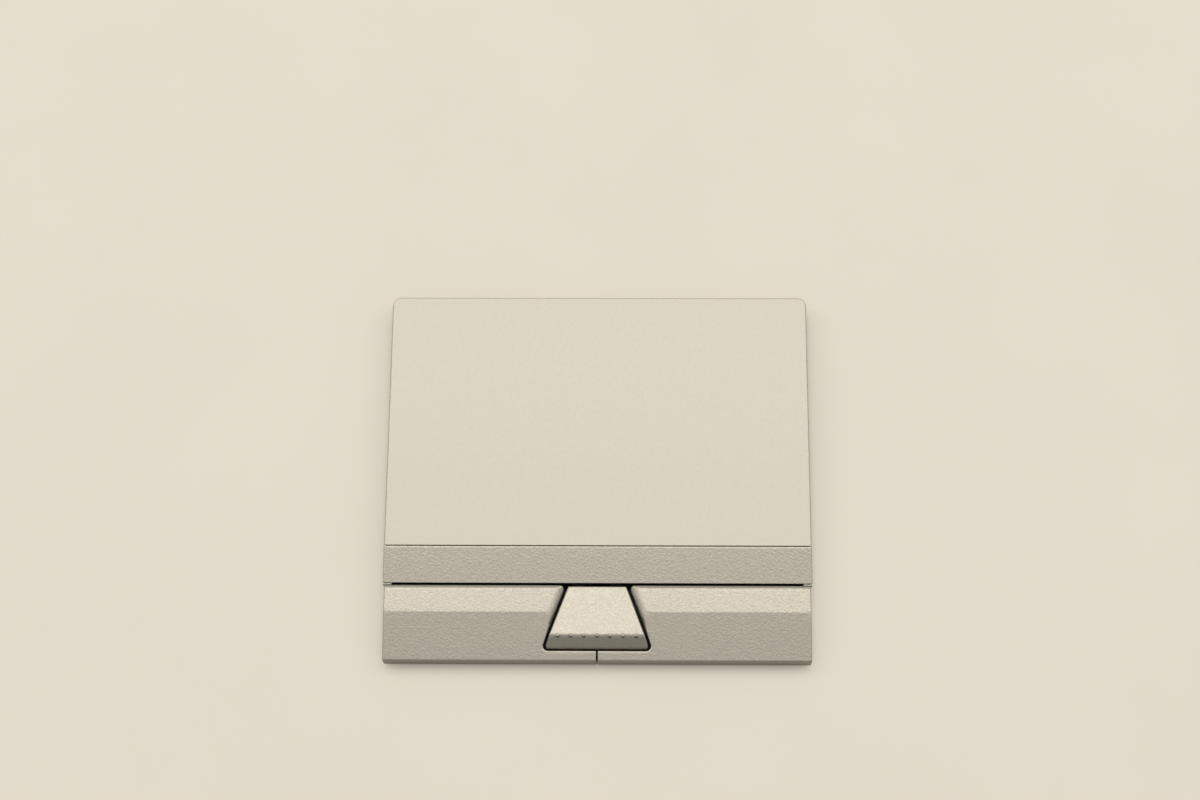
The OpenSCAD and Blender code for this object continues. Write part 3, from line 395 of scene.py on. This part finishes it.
def plan_loop(corners, radii, stations, start_in, end_in=None):
    """Outline of a polygon, anticlockwise, with each edge moved in and each corner rounded.

    Edge i leaves corner i, and is moved in by start_in[i] at its start and end_in[i] at its end.
    A moved corner is where its two moved edges cross. An arc tangent to both rounds it; its
    radius shrinks with the inset at an outer corner and grows at an inner one, and a radius
    of 0 leaves the corner sharp. Each corner gives ARC + 1 points and edge i those at the
    fractions stations[i], so that outlines with other insets match point for point. Also
    returns blend(start, end), which carries values given at the edges' starts and ends
    round the outline.
    """
    c = np.asarray(corners, float)
    radii = np.asarray(radii, float)
    start_in = np.asarray(start_in, float)
    end_in = start_in if end_in is None else np.asarray(end_in, float)
    n = len(c)
    way = np.roll(c, -1, 0) - c
    way /= np.linalg.norm(way, axis=1)[:, None]
    square = np.stack([-way[:, 1], way[:, 0]], 1)
    a = c + square * start_in[:, None]
    b = np.roll(c, -1, 0) + square * end_in[:, None]
    way = (b - a) / np.linalg.norm(b - a, axis=1)[:, None]
    square = np.stack([-way[:, 1], way[:, 0]], 1)
    before = np.roll(square, 1, 0)
    turn = np.arctan2(before[:, 0] * square[:, 1] - before[:, 1] * square[:, 0], (before * square).sum(1))
    straight = np.abs(turn) < STRAIGHT
    pair = np.stack([np.where(straight[:, None], way, before), square], 1)
    first = np.where(straight, (way * a).sum(1), (before * np.roll(a, 1, 0)).sum(1))
    reach = np.stack([first, (square * a).sum(1)], 1)
    corner = np.linalg.solve(pair, reach[:, :, None])[:, :, 0]
    inset = (np.roll(end_in, 1) + start_in) / 2
    rounded = ~straight & (radii > 0)
    signed_r = np.sign(turn) * np.maximum(radii - np.sign(turn) * inset, LEAST_R) * rounded
    centre = corner + (signed_r / (1 + np.cos(turn)))[:, None] * (before + square)
    step = np.linspace(0, 1, ARC + 1)
    angle = np.outer(turn, step)
    spoke_x = before[:, :1] * np.cos(angle) - before[:, 1:] * np.sin(angle)
    spoke_y = before[:, :1] * np.sin(angle) + before[:, 1:] * np.cos(angle)
    arc = centre[:, None] - signed_r[:, None, None] * np.stack([spoke_x, spoke_y], -1)
    ease = step * step * (3 - 2 * step)
    points, from_start, from_end = [], [], []
    for i in range(n):
        t = np.asarray(stations[i], float)
        points += [arc[i], arc[i, -1] + (arc[(i + 1) % n, 0] - arc[i, -1]) * t[:, None]]
        here = np.eye(n)[i]
        last = np.eye(n)[i - 1]
        from_start += [np.outer(ease, here), np.outer(1 - t, here)]
        from_end += [np.outer(1 - ease, last), np.outer(t, here)]
    from_start, from_end = np.concatenate(from_start), np.concatenate(from_end)

    def blend(start, end=None):
        return from_start @ np.asarray(start) + from_end @ np.asarray(start if end is None else end)

    return np.concatenate(points), blend


def filled(loop, rows, step):
    """Triangles over a plan outline, with points a step apart on the given rows, by Delaunay's rule."""
    x = np.arange(loop[:, 0].min() + step / 3, loop[:, 0].max(), step)
    grid = np.stack(np.meshgrid(x, rows), -1).reshape(-1, 2)
    way = np.roll(loop, -1, 0) - loop
    t = ((grid[:, None] - loop) * way).sum(-1) / np.maximum((way * way).sum(-1), 1e-12)
    near = loop + np.clip(t, 0, 1)[..., None] * way
    grid = grid[np.linalg.norm(grid[:, None] - near, axis=-1).min(1) > FILL_CLEAR]
    outline = list(range(len(loop)))
    made = delaunay_2d_cdt(np.concatenate([loop, grid]).tolist(), [], [outline], 1, 1e-7)
    return np.array(made[0]), np.array(made[2])


def shell(rings, top, underside, rows, step):
    """Points and faces of matching rings, closed by fills at the heights top(x, y) and underside(x, y)."""
    rings = np.array(rings)
    points = [rings.reshape(-1, 3)]
    faces = grid_faces(len(rings), rings.shape[1])
    for loop, height, order in ((rings[0], top, 1), (rings[-1], underside, -1)):
        plan, triangles = filled(loop[:, :2], rows, step)
        faces += (triangles[:, ::order] + sum(map(len, points))).tolist()
        points.append(np.column_stack([plan, height(plan[:, 0], plan[:, 1])]))
    return np.concatenate(points), faces


def level(z):
    """The same height all over a plan."""
    return lambda x, y: np.full(len(x), z)


def at_height(loop, z):
    """Ring of a plan outline at one height, or at a height for each of its points."""
    return np.column_stack([loop, np.broadcast_to(z, len(loop))])


def rim_rings(corners, radii, stations, rim, fall, top, beyond):
    """Rings over an edge rounded as a quarter ellipse, from a little beyond it on the top, out to the side.

    rim and fall are the ellipse's width and depth at each edge, or at each edge's start and end.
    At angle a from the top, a ring lies in from the edge by width * (1 - sin a) and below
    the top by depth * (1 - cos a). Also returns the outline's blend.
    """
    rim = np.broadcast_to(np.asarray(rim, float), (2, len(corners)))
    fall = np.broadcast_to(np.asarray(fall, float), (2, len(corners)))
    loop, _ = plan_loop(corners, radii, stations, *(rim + beyond))
    rings = [at_height(loop, top(loop[:, 0], loop[:, 1]))]
    for a in QUARTER:
        loop, blend = plan_loop(corners, radii, stations, *(rim * (1 - math.sin(a))))
        rings.append(at_height(loop, top(loop[:, 0], loop[:, 1]) - blend(*fall) * (1 - math.cos(a))))
    return rings, blend


def rectangle(half_w, y_from, y_to):
    """Corners of a plan even about the middle line, anticlockwise from the left one nearest to the user."""
    return [(-half_w, y_from), (half_w, y_from), (half_w, y_to), (-half_w, y_to)]


touch_half_w, touch_from, touch_to = 44.85, -40.05, 15.74
touch_z, sheet_z = 5.6, 4.9                 # top and underside
touch_rim = [0.35, 0.2, 0.05, 0.2]          # rounding: user's edge, right, band's edge, left
touch_foot = [(0.0, 5.0), (0.03, 4.93), (0.1, sheet_z)]  # (inset, height) round the lower edge
touch_plan = (rectangle(touch_half_w, touch_from, touch_to), [1.7, 1.7, 0.3, 0.3],
              [np.linspace(0.02, 0.98, 40)] * 4)
rings, _ = rim_rings(*touch_plan, touch_rim, touch_rim, level(touch_z), beyond=0.2)
rings += [at_height(plan_loop(*touch_plan, [inset] * 4)[0], z) for inset, z in touch_foot]
points, faces = shell(rings, level(touch_z), level(sheet_z), rows=np.arange(-38, 15, 4.0), step=4.0)

touch_coat, tree, shader, place = finish("touch_coat", (0.6, 0.555, 0.455), roughness=0.5, metallic=0.55)
shade(tree, speckle(tree, place, 2.4, detail=3, roughness=0.7),
      [(0.3, (0.55, 0.51, 0.415)), (0.7, (0.64, 0.593, 0.488))], shader.inputs["Base Color"])
shade(tree, speckle(tree, place, 2.4, detail=2), [(0.3, 0.45), (0.7, 0.55)], shader.inputs["Roughness"])
relief(tree, speckle(tree, place, 6, detail=2), 0.006, shader, strength=0.5)
touch_sheet = place_mesh("touch_sheet", points, faces, touch_coat, "click_pad")
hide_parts("touch_overlay")


# Pad trim
# Moulded black ABS, sprayed silver from above: a skirt round three sides of the pad, and a sloping
# band with ribs, tabs that close the gap's ends and two snap hooks. The gap's walls stay bare
# black, and that black also stands for the shade deep in the gap: painted shade.

half_w, user_y = 45, -40.2                  # half the module's width, and its user's edge
band_from, band_to = 15.86, 23.66
band_z, band_fall, band_t = 5.5, 0.95, 1    # height at its start, fall to its end, thickness
gap_foot, skirt_foot = 3.55, 0.8            # heights of the lower edges in the gap and of the skirt
block_x = 43.6                              # further out the band's wall goes down to the skirt's foot
foot_step = np.array([0.0117, 0.0121])      # stations along the gap just either side of that
CLOSE = 0.01                                # what lies nearer than this counts as the same place


def band_top(x, y):
    """The band falls evenly from its start to its end."""
    return band_z - band_fall * (y - band_from) / (band_to - band_from)


def lowered(top, depth):
    """The same surface, lower by a depth."""
    return lambda x, y: top(x, y) - depth


def wall_rings(edge, foot, inner, under):
    """Rings from an edge down to its foot, in to the inner outline and up to the roof's underside."""
    roof = under(inner[:, 0], inner[:, 1])
    return [at_height(edge[:, :2], foot), at_height(inner, foot), at_height(inner, roof)]


gap_stations = np.concatenate([foot_step, np.linspace(0.02, 0.98, 60), 1 - foot_step[::-1]])
end_stations = np.linspace(0.03, 0.97, 12)
band_plan = (rectangle(half_w, band_from, band_to), [0.02, 0.02, 0.35, 0.35],
             [np.linspace(0.01, 0.99, 62), end_stations, gap_stations, end_stations])
band_rim = [0.4, 0.22, 0.06, 0.22]          # rounding towards the pad, right, in the gap, left: width
band_drop = [0.13, 0.22, 0.06, 0.22]        # and depth
rings, _ = rim_rings(*band_plan, band_rim, band_drop, band_top, beyond=0.15)
edge = rings[-1]
on_gap = (edge[:, 1] > band_to - CLOSE) & (np.abs(edge[:, 0]) < block_x)
foot = np.where(edge[:, 1] < band_from + CLOSE, sheet_z, np.where(on_gap, gap_foot, skirt_foot))
inner, _ = plan_loop(*band_plan, [1.0, 1.4, 0.8, 1.4])
band_under = lowered(band_top, band_t)
rings += wall_rings(edge, foot, inner, band_under)
band = shell(rings, band_top, band_under, rows=np.linspace(17, 23, 4), step=4.0)

# The skirt's section as (inset, height), from the inner top edge out, down, round the foot and up again
skirt_section = [(1.3, 4.9), (0.14, 4.9), (0.06, 4.88), (0.015, 4.82), (0.0, 4.7), (0.0, 0.95),
                 (0.02, 0.87), (0.07, 0.82), (0.16, 0.8), (1.28, 0.8), (1.4, 0.92), (1.4, 4.8), (1.3, 4.9)]
side_stations = np.linspace(0.02, 0.98, 24)
skirt_plan = ([(-half_w, band_from), (-half_w, user_y), (half_w, user_y), (half_w, band_from)],
              [0.02, 1.85, 1.85, 0.02], [side_stations, np.linspace(0.02, 0.98, 36), side_stations, []])
rings = np.array([at_height(plan_loop(*skirt_plan, [inset] * 3 + [0])[0], z) for inset, z in skirt_section])
count = rings.shape[1]
first_end = np.arange(len(skirt_section) - 1) * count
end_faces = [first_end[::-1].tolist(), (first_end + count - 1).tolist()]
skirt = (rings.reshape(-1, 3), grid_faces(len(rings), count, closed=False) + end_faces)


def beam(profile, x_from, x_to):
    """Outline in (y, z), anticlockwise seen from +X, carried along X and closed at both ends."""
    outline = np.asarray(profile, float)
    n = len(outline)
    k = np.arange(n)
    ends = [np.column_stack([np.full(n, x), outline]) for x in (x_from, x_to)]
    sides = np.stack([k, (k + 1) % n, n + (k + 1) % n, n + k], 1).tolist()
    return np.concatenate(ends), sides + [k[::-1].tolist(), (k + n).tolist()]


def joined(*pieces):
    """One list of points and faces out of several."""
    first = np.cumsum([0] + [len(p) for p, _ in pieces])
    return (np.concatenate([p for p, _ in pieces]),
            [[k + n for k in face] for n, (_, f) in zip(first, pieces) for face in f])


rib_half, rib_pitch = 0.4, 9.4
rib_outline = [(16.86, 3.4), (18.2, 4.0), (18.2, 4.4), (16.86, 4.6)]
ribs = [beam(rib_outline, x - rib_half, x + rib_half) for x in np.arange(-4, 5) * rib_pitch]

tab_x = 43.2                                # inner ends of the tabs
tab_outline = [(23.3, 3.2), (24.05, 3.2), (24.05, 4.34), (24.03, 4.38), (23.99, 4.4), (23.97, 4.4),
               (23.82, 4.4), (23.8, 4.38), (23.78, 4.1), (23.3, 4.1)]
tabs = [beam(tab_outline, tab_x, half_w), beam(tab_outline, -half_w, -tab_x)]

hook_x, hook_half = 22, 3
hook_outline = [(-39.0, 1.5), (-37.45, 1.5), (-37.3, 1.7), (-37.5, 1.95), (-39.0, 1.95)]
hooks = [beam(hook_outline, x - hook_half, x + hook_half) for x in (-hook_x, hook_x)]

silver, tree, shader, place = finish("silver_paint", (0.47, 0.43, 0.352), roughness=0.4, metallic=0.88)
shade(tree, speckle(tree, place, 2.6, detail=3, roughness=0.75),
      [(0.3, (0.43, 0.393, 0.322)), (0.7, (0.51, 0.467, 0.382))], shader.inputs["Base Color"])
shade(tree, speckle(tree, place, 2, detail=2), [(0.3, 0.36), (0.7, 0.45)], shader.inputs["Roughness"])
relief(tree, speckle(tree, place, 2.2, detail=3), 0.06, shader, strength=0.8)

# Black plastic where the spray does not reach; in the gaps it also stands for the shade there: painted
# shade.
bare_abs_and_painted_shade, tree, shader, place = finish("bare_abs_and_painted_shade", (0.016, 0.016, 0.016), roughness=0.5)
shade(tree, speckle(tree, place, 3, detail=3),
      [(0.3, (0.011, 0.011, 0.011)), (0.7, (0.024, 0.024, 0.024))], shader.inputs["Base Color"])

trim_reach = 0.3                            # how far the spray comes down in the gap; below it the bare black is also painted shade
bare_x, bare_from = 43.1, 16.2              # the bare walls lie within this half width, from this y on


def trim_bare_and_painted_shade(x, y, z):
    """The walls in the gap below the spray's reach, and the band's underside: bare black that is also
    painted shade.
    """
    return (z < band_top(x, y) - trim_reach) & (np.abs(x) < bare_x) & (y > bare_from)


points, faces = joined(band, skirt, *ribs, *tabs, *hooks)
trim = place_mesh("silver_trim", points, faces, silver, "click_pad",
                  bare=(bare_abs_and_painted_shade, trim_bare_and_painted_shade))
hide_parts("pad_trim")


# Outer buttons
# Black ABS caps, sprayed like the trim: a flat top that bends into a slope to the keyboard edge,
# with a broad round edge towards the middle button. Two heat stakes hold each to its lever.

def soft_line(stations, radius):
    """Line through three (y, z) stations, its bend eased by a curve tangent to both runs.

    Gives z as a function of the place, and the curve's own stations in y.
    """
    a, b, c = np.asarray(stations, float)
    into = (b - a) / np.linalg.norm(b - a)
    out = (c - b) / np.linalg.norm(c - b)
    back = radius * math.tan(math.acos(into @ out) / 2)
    t = np.linspace(0, 1, 9)[:, None]
    curve = (b - into * back) * (1 - t) ** 2 + b * 2 * t * (1 - t) + (b + out * back) * t * t
    line = np.concatenate([[a], curve, [c]])
    return lambda x, y: np.interp(y, line[:, 0], line[:, 1]), curve[:, 0]


back_y, outer_x = 24.3, 44.6                # back edge and outer side
cap_z, ridge_y, ridge_r = 5.4, 30.0, 2.0    # height of the flat, where it bends, how softly
front_y, front_z = 40.2, 4.0                # keyboard edge
split_x, web_y = 0.19, 38.02                # half the split between the caps, and the cut-out's front
edge_r, edge_wide = 2.3, 1.72               # round edge towards the middle button: radius and width
back_r, back_wide = 1.55, 0.95              # the same at the back edge
least_in = 0.3                              # the round edge's least width, down the slope
run_y = np.array([36.2, 34.5, 33.0, 31.8, 30.9, 30.3, ridge_y])          # stations of its width
run_out_y, run_out_rise = 36.3, 3           # past this station it runs out, by so much to the mm
cap_t = 1.2                                 # thickness of a cap's roof
cap_skirt, back_foot, cut_foot = 1.0, 3.25, 2.8          # heights of the lower edges
skirt_x, skirt_y = 43.4, 39.0               # the skirt lies outside these
step_sides = np.array([-0.02, 0.02])        # stations just either side of where the lower edge steps

middle_half, middle_widens = 6.05, 4.8      # the middle button's half width at its back, and its growth
middle_back, middle_d = 24.45, 13.15        # its back edge, and its depth
middle_gap = 0.64

cap_line, ridge_rows = soft_line([(back_y, cap_z), (ridge_y, cap_z), (front_y, front_z)], ridge_r)


def cut_out(y):
    """Half width of the cut-out round the middle button."""
    return middle_half + middle_widens / middle_d * (y - middle_back) + middle_gap


def fractions(low, high, *extra):
    """Places along an edge, from 0 to 1: stations about half a millimetre apart, and extra ones."""
    even = np.linspace(low, high, max(4, int(abs(high - low) / 0.5)))
    at = np.concatenate([even, *map(np.atleast_1d, extra)])
    return np.sort((at - low) / (high - low))[1:-1]


def edge_in(y):
    """How far the round edge reaches in from the cut-out: its circle's chord at the height of the top."""
    return np.maximum(edge_wide - np.sqrt(edge_r ** 2 - (edge_r - cap_z + cap_line(0, y)) ** 2), least_in)


def arc_z(radius, wide, inside):
    """Height over a round edge: an arc, level where it meets the flat, that leans more towards its end."""
    return cap_z - radius + np.sqrt(radius ** 2 - (wide - np.clip(inside, 0, wide)) ** 2)


def cap_top(x, y):
    """Flat and slope, cut down by an arc along the back and one along the cut-out.

    The cut-out's arc runs out before the corner: past a station it is lifted clear of the slope.
    """
    inside = (x - cut_out(y)) * math.cos(math.atan(middle_widens / middle_d))
    side_z = arc_z(edge_r, edge_wide, inside) + run_out_rise * np.maximum(y - run_out_y, 0)
    back_z = arc_z(back_r, back_wide, y - back_y)
    return np.minimum(cap_line(x, y), np.minimum(side_z, back_z))


# Edges in turn: back, side, front, split, web, then the cut-out's edge in short runs up to the back.
# An edge's stations lie on its straight run, between the rounded corners at its two ends.
cap_corners = [(cut_out(back_y), back_y), (outer_x, back_y), (outer_x, front_y), (split_x, front_y),
               (split_x, web_y), (cut_out(web_y), web_y), *zip(cut_out(run_y), run_y)]
cap_radii = [0.9, 0.35, 0.2, 0.12, 0.12, 1.0] + [0] * len(run_y)
cap_stations = [fractions(cut_out(back_y) + 1.2, 44.25, skirt_x + step_sides),
                fractions(24.7, 39.85, ridge_rows), fractions(44.25, 0.31),
                fractions(40.08, 38.14, skirt_y + step_sides), fractions(0.31, 10.3),
                fractions(36.7, run_y[0]), *map(fractions, run_y[:-1], run_y[1:]),
                fractions(ridge_y, 25.2, 29.93, 29.86)]
cap_plan = (cap_corners, cap_radii, cap_stations)

# Width and depth of each edge's own small rounding, at its start and at its end
run_in = edge_in(run_y)
run_fall = np.interp(run_y, [ridge_y, run_y[0]], [0.04, 0.25])
rims = [[back_wide, 0.25, 0.35, 0.1, 0.4, least_in, *run_in],
        [back_wide, 0.25, 0.35, 0.1, 0.4, *run_in, edge_wide]]
falls = [[0.06, 0.25, 0.35, 0.1, 0.2, 0.25, *run_fall],
         [0.06, 0.25, 0.35, 0.1, 0.2, *run_fall, 0.04]]
rings, blend = rim_rings(*cap_plan, rims, falls, cap_top, beyond=0.15)
edge = rings[-1]
inside_feet = blend([back_foot, cap_skirt, cap_skirt] + [cut_foot] * (3 + len(run_y)))
foot = np.where((edge[:, 0] > skirt_x) | (edge[:, 1] > skirt_y), cap_skirt, inside_feet)
inner, _ = plan_loop(*cap_plan, [1.2, 1.2, 1.2, 0.8, 0.8] + [1.0] * (1 + len(run_y)))
cap_under = lowered(cap_line, cap_t)
rings += wall_rings(edge, foot, inner, cap_under)
rows = np.concatenate([[25.5, 27, 28.5, 29.5], ridge_rows, [30.5, 32, 34, 36, 37.5, 38.6, 39.3]])
roof = shell(rings, cap_top, cap_under, rows, step=1.5)

rib_outline = [(25.7, 3.2), (32.9, 3.2), (32.9, 4.1), (30.0, 4.8), (25.7, 4.8)]
ribs = [beam(rib_outline, x - rib_half, x + rib_half) for x in (17.5, 24, 35, 40)]
stake_y = 27.7
stake_r, stake_z = [0, 0.75, 0.75, 0.65, 0], [4.6, 4.6, 2.3, 2.2, 2.2]
stakes = [turned(stake_r, stake_z, (x, stake_y)) for x in (19.5, 38)]
points, faces = joined(roof, *ribs, *stakes)

gap_reach, split_reach = 1.0, 0.3           # how far the spray comes down in the gaps and in the split; the black below is also painted shade
near_split, outer_wall = 0.3, 0.2           # what is nearer to the split or an outer wall belongs to it


def cap_bare_and_painted_shade(x, y, z):
    """The spray reaches the outer walls, but only the tops of the walls in the gaps; below, the black walls
    are also painted shade.
    """
    reach = np.where(np.abs(x) < near_split, split_reach, gap_reach)
    inside = (np.abs(x) < outer_x - outer_wall) & (y < front_y - outer_wall)
    return (z < cap_line(x, y) - reach) & inside


for side, name in ((-1, "left"), (1, "right")):
    cap = place_mesh(f"{name}_button", points * (side, 1, 1), [f[::side] for f in faces], silver,
                     f"{name}_button", sharp_deg=30, bare=(bare_abs_and_painted_shade, cap_bare_and_painted_shade))
    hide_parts(f"{name}_cap")


# Middle button
# Painted cap that widens and rises to a ridge, then falls in a steep bevel. Seven small
# bumps moulded on the ridge let a fingertip find it.

middle_back_z, bevel_foot_z, middle_t = 5.05, 3.9, 1.1
middle_ridge_y, middle_ridge_z, middle_ridge_r = 35.15, 5.855, 1.4
middle_front, middle_front_half = 37.6, 10.85
middle_foot, middle_reach = 3.2, 0.7        # foot of the walls; the spray's reach below the outer tops, under which black is also painted shade
bump_r, bump_y, bump_z, bump_pitch = 0.5, 35.04, 5.49, 2.72

middle_top, ridge_rows = soft_line([(middle_back, middle_back_z), (middle_ridge_y, middle_ridge_z),
                                    (middle_front, bevel_foot_z)], middle_ridge_r)
side_rows = fractions(24.8, 37.05, ridge_rows)
middle_plan = ([(-middle_half, middle_back), (middle_half, middle_back),
                (middle_front_half, middle_front), (-middle_front_half, middle_front)],
               [0.35, 0.35, 0.55, 0.55],
               [fractions(-5.7, 5.7), side_rows, fractions(10.3, -10.3), (1 - side_rows)[::-1]])
middle_rim = [0.3, 0.26, 0.5, 0.26]         # rounding of the back, right, front and left edges: width
middle_drop = [0.3, 0.26, 0.3, 0.26]        # and depth
rings, _ = rim_rings(*middle_plan, middle_rim, middle_drop, middle_top, beyond=0.12)
inner, _ = plan_loop(*middle_plan, [1.0] * 4)
middle_under = lowered(middle_top, middle_t)
rings += wall_rings(rings[-1], middle_foot, inner, middle_under)
rows = np.concatenate([[25.5, 27.5, 29.5, 31.5, 33.5], ridge_rows, [35.6, 36.2, 36.8]])
roof = shell(rings, middle_top, middle_under, rows, step=1.0)

# A bump is a ball whose lower part, inside the cap, is a cone down to its pole
lift = np.append(np.linspace(np.pi / 2, -0.5, 14), -np.pi / 2)
bumps = [turned(bump_r * np.cos(lift), bump_z + bump_r * np.sin(lift), (x, bump_y), segments=32)
         for x in np.arange(-3, 4) * bump_pitch]


def bare_walls_and_painted_bump_shade(x, y, z):
    """The gap's walls below the spray's reach, bare black that is also painted shade, and the bumps'
    keyboard sides, black as painted shade.
    """
    beside = x - bump_pitch * np.round(x / bump_pitch)
    on_bump = np.abs(np.sqrt(beside ** 2 + (y - bump_y) ** 2 + (z - bump_z) ** 2) - bump_r) < CLOSE
    # The black on each bump's keyboard side is painted shade: the dark lower side of a bump lit from the
    # user's side.
    keyboard_side = (y > bump_y + 0.5 * bump_r) & (z < bump_z + 0.64 * bump_r)
    return (z < cap_line(x, y) - middle_reach) | (on_bump & keyboard_side)


points, faces = joined(roof, *bumps)
middle = place_mesh("middle_button", points, faces, silver, "middle_button",
                    bare=(bare_abs_and_painted_shade, bare_walls_and_painted_bump_shade))
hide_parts("middle_cap")


# Studio
# Plain pale desk, one wide softbox high over the user's side, and a dim surround that is darker
# on the keyboard side. Sizes here and below are metres.

desk_half = 2
shadow_reach = 0.004                        # the desk's glow fades within this of what stands on it, by ambient occlusion: a contact shadow
mirrored_share = 0.3                        # how much of that glow shows in the part's reflections
lamp_azimuth, lamp_lift = math.radians(-90), math.radians(68.5)          # -90 is the user's side
lamp_away, lamp_wide, lamp_deep, lamp_radiance = 1.0, 2.7, 0.5, 2.0

desk_corners = [(x, y, 0) for x, y in rectangle(desk_half, -desk_half, desk_half)]
desk_mesh = bpy.data.meshes.new("desk")
desk_mesh.from_pydata(desk_corners, [], [[0, 1, 2, 3]])
desk = bpy.data.objects.new("desk", desk_mesh)
bpy.context.scene.collection.objects.link(desk)
desk_top, tree, shader, place = finish("pale_desk", (0.425, 0.393, 0.329), roughness=0.6)
shader.inputs["Specular IOR Level"].default_value = 0.2
shade(tree, speckle(tree, place, 0.02, detail=3, roughness=0.5),
      [(0.3, (0.415, 0.384, 0.321)), (0.7, (0.435, 0.402, 0.337))], shader.inputs["Base Color"])
# The desk glows for the camera, and in part for reflections, so that it looks pale; ambient occlusion dims
# that glow next to the part as its contact shadow.
open_sky = tree.nodes.new("ShaderNodeAmbientOcclusion")
open_sky.inputs["Distance"].default_value = shadow_reach
shade(tree, open_sky.outputs["AO"], [(0.25, 0.0), (0.65, (0.375, 0.344, 0.287))],
      shader.inputs["Emission Color"])
ray = tree.nodes.new("ShaderNodeLightPath")
seen = ray.outputs["Is Camera Ray"]
for kind, share in (("Is Glossy Ray", mirrored_share), ("Is Transmission Ray", 1.0)):
    added = tree.nodes.new("ShaderNodeMath")
    added.operation = "MULTIPLY_ADD"
    added.inputs[1].default_value = share
    tree.links.new(ray.outputs[kind], added.inputs[0])
    tree.links.new(seen, added.inputs[2])
    seen = added.outputs["Value"]
tree.links.new(seen, shader.inputs["Emission Strength"])
desk_mesh.materials.append(desk_top)


def placed(across, upward, backward, at):
    """Matrix that turns an object's X, Y and Z to three directions and puts it at a place."""
    turn = np.eye(4)
    turn[:3] = np.column_stack([across, upward, backward, at])
    return Matrix(turn.tolist())


lamp = bpy.data.lights.new("user_side_box", "AREA")
lamp.shape = "RECTANGLE"
lamp.size, lamp.size_y = lamp_wide, lamp_deep
lamp.energy = lamp_radiance * math.pi * lamp_wide * lamp_deep
box = bpy.data.objects.new("user_side_box", lamp)
bpy.context.scene.collection.objects.link(box)
out = np.array([math.cos(lamp_azimuth) * math.cos(lamp_lift), math.sin(lamp_azimuth) * math.cos(lamp_lift),
                math.sin(lamp_lift)])
across = np.array([-math.sin(lamp_azimuth), math.cos(lamp_azimuth), 0])
box.matrix_world = placed(across, np.cross(out, across), out, out * lamp_away)

world = bpy.data.worlds.new("dim_surround")
world.use_nodes = True
tree = world.node_tree
parts = tree.nodes.new("ShaderNodeSeparateXYZ")
toward_keyboard = tree.nodes.new("ShaderNodeMapRange")
toward_keyboard.inputs["From Min"].default_value = -1
tree.links.new(tree.nodes.new("ShaderNodeTexCoord").outputs["Generated"], parts.inputs["Vector"])
tree.links.new(parts.outputs["Y"], toward_keyboard.inputs["Value"])
shade(tree, toward_keyboard.outputs["Result"],
      [(0.0, 0.57), (0.5, 0.53), (0.75, 0.45), (0.92, 0.385), (1.0, 0.2)],
      tree.nodes["Background"].inputs["Color"])
bpy.context.scene.world = world
bpy.context.scene.view_settings.view_transform = "Standard"


# Camera
# As in the photograph: from the keyboard side and high above, with a long lens. Its place and
# turns were fitted to the object's edges.

pitch, yaw, roll = 1.244, 0.04467, -0.04027              # radians
eye = (-0.007389, 0.141798, 0.473046)

ahead = np.array([math.sin(yaw) * math.cos(pitch), -math.cos(yaw) * math.cos(pitch), -math.sin(pitch)])
level_right = np.array([-math.cos(yaw), -math.sin(yaw), 0])
level_up = np.cross(level_right, ahead)
right = math.cos(roll) * level_right + math.sin(roll) * level_up
up = -math.sin(roll) * level_right + math.cos(roll) * level_up
camera_data = bpy.data.cameras.new("camera")
camera_data.sensor_width = 36
camera_data.lens = 69
camera_data.clip_start = 0.01
camera = bpy.data.objects.new("camera", camera_data)
bpy.context.scene.collection.objects.link(camera)
camera.matrix_world = placed(right, up, -ahead, eye)
bpy.context.scene.camera = camera
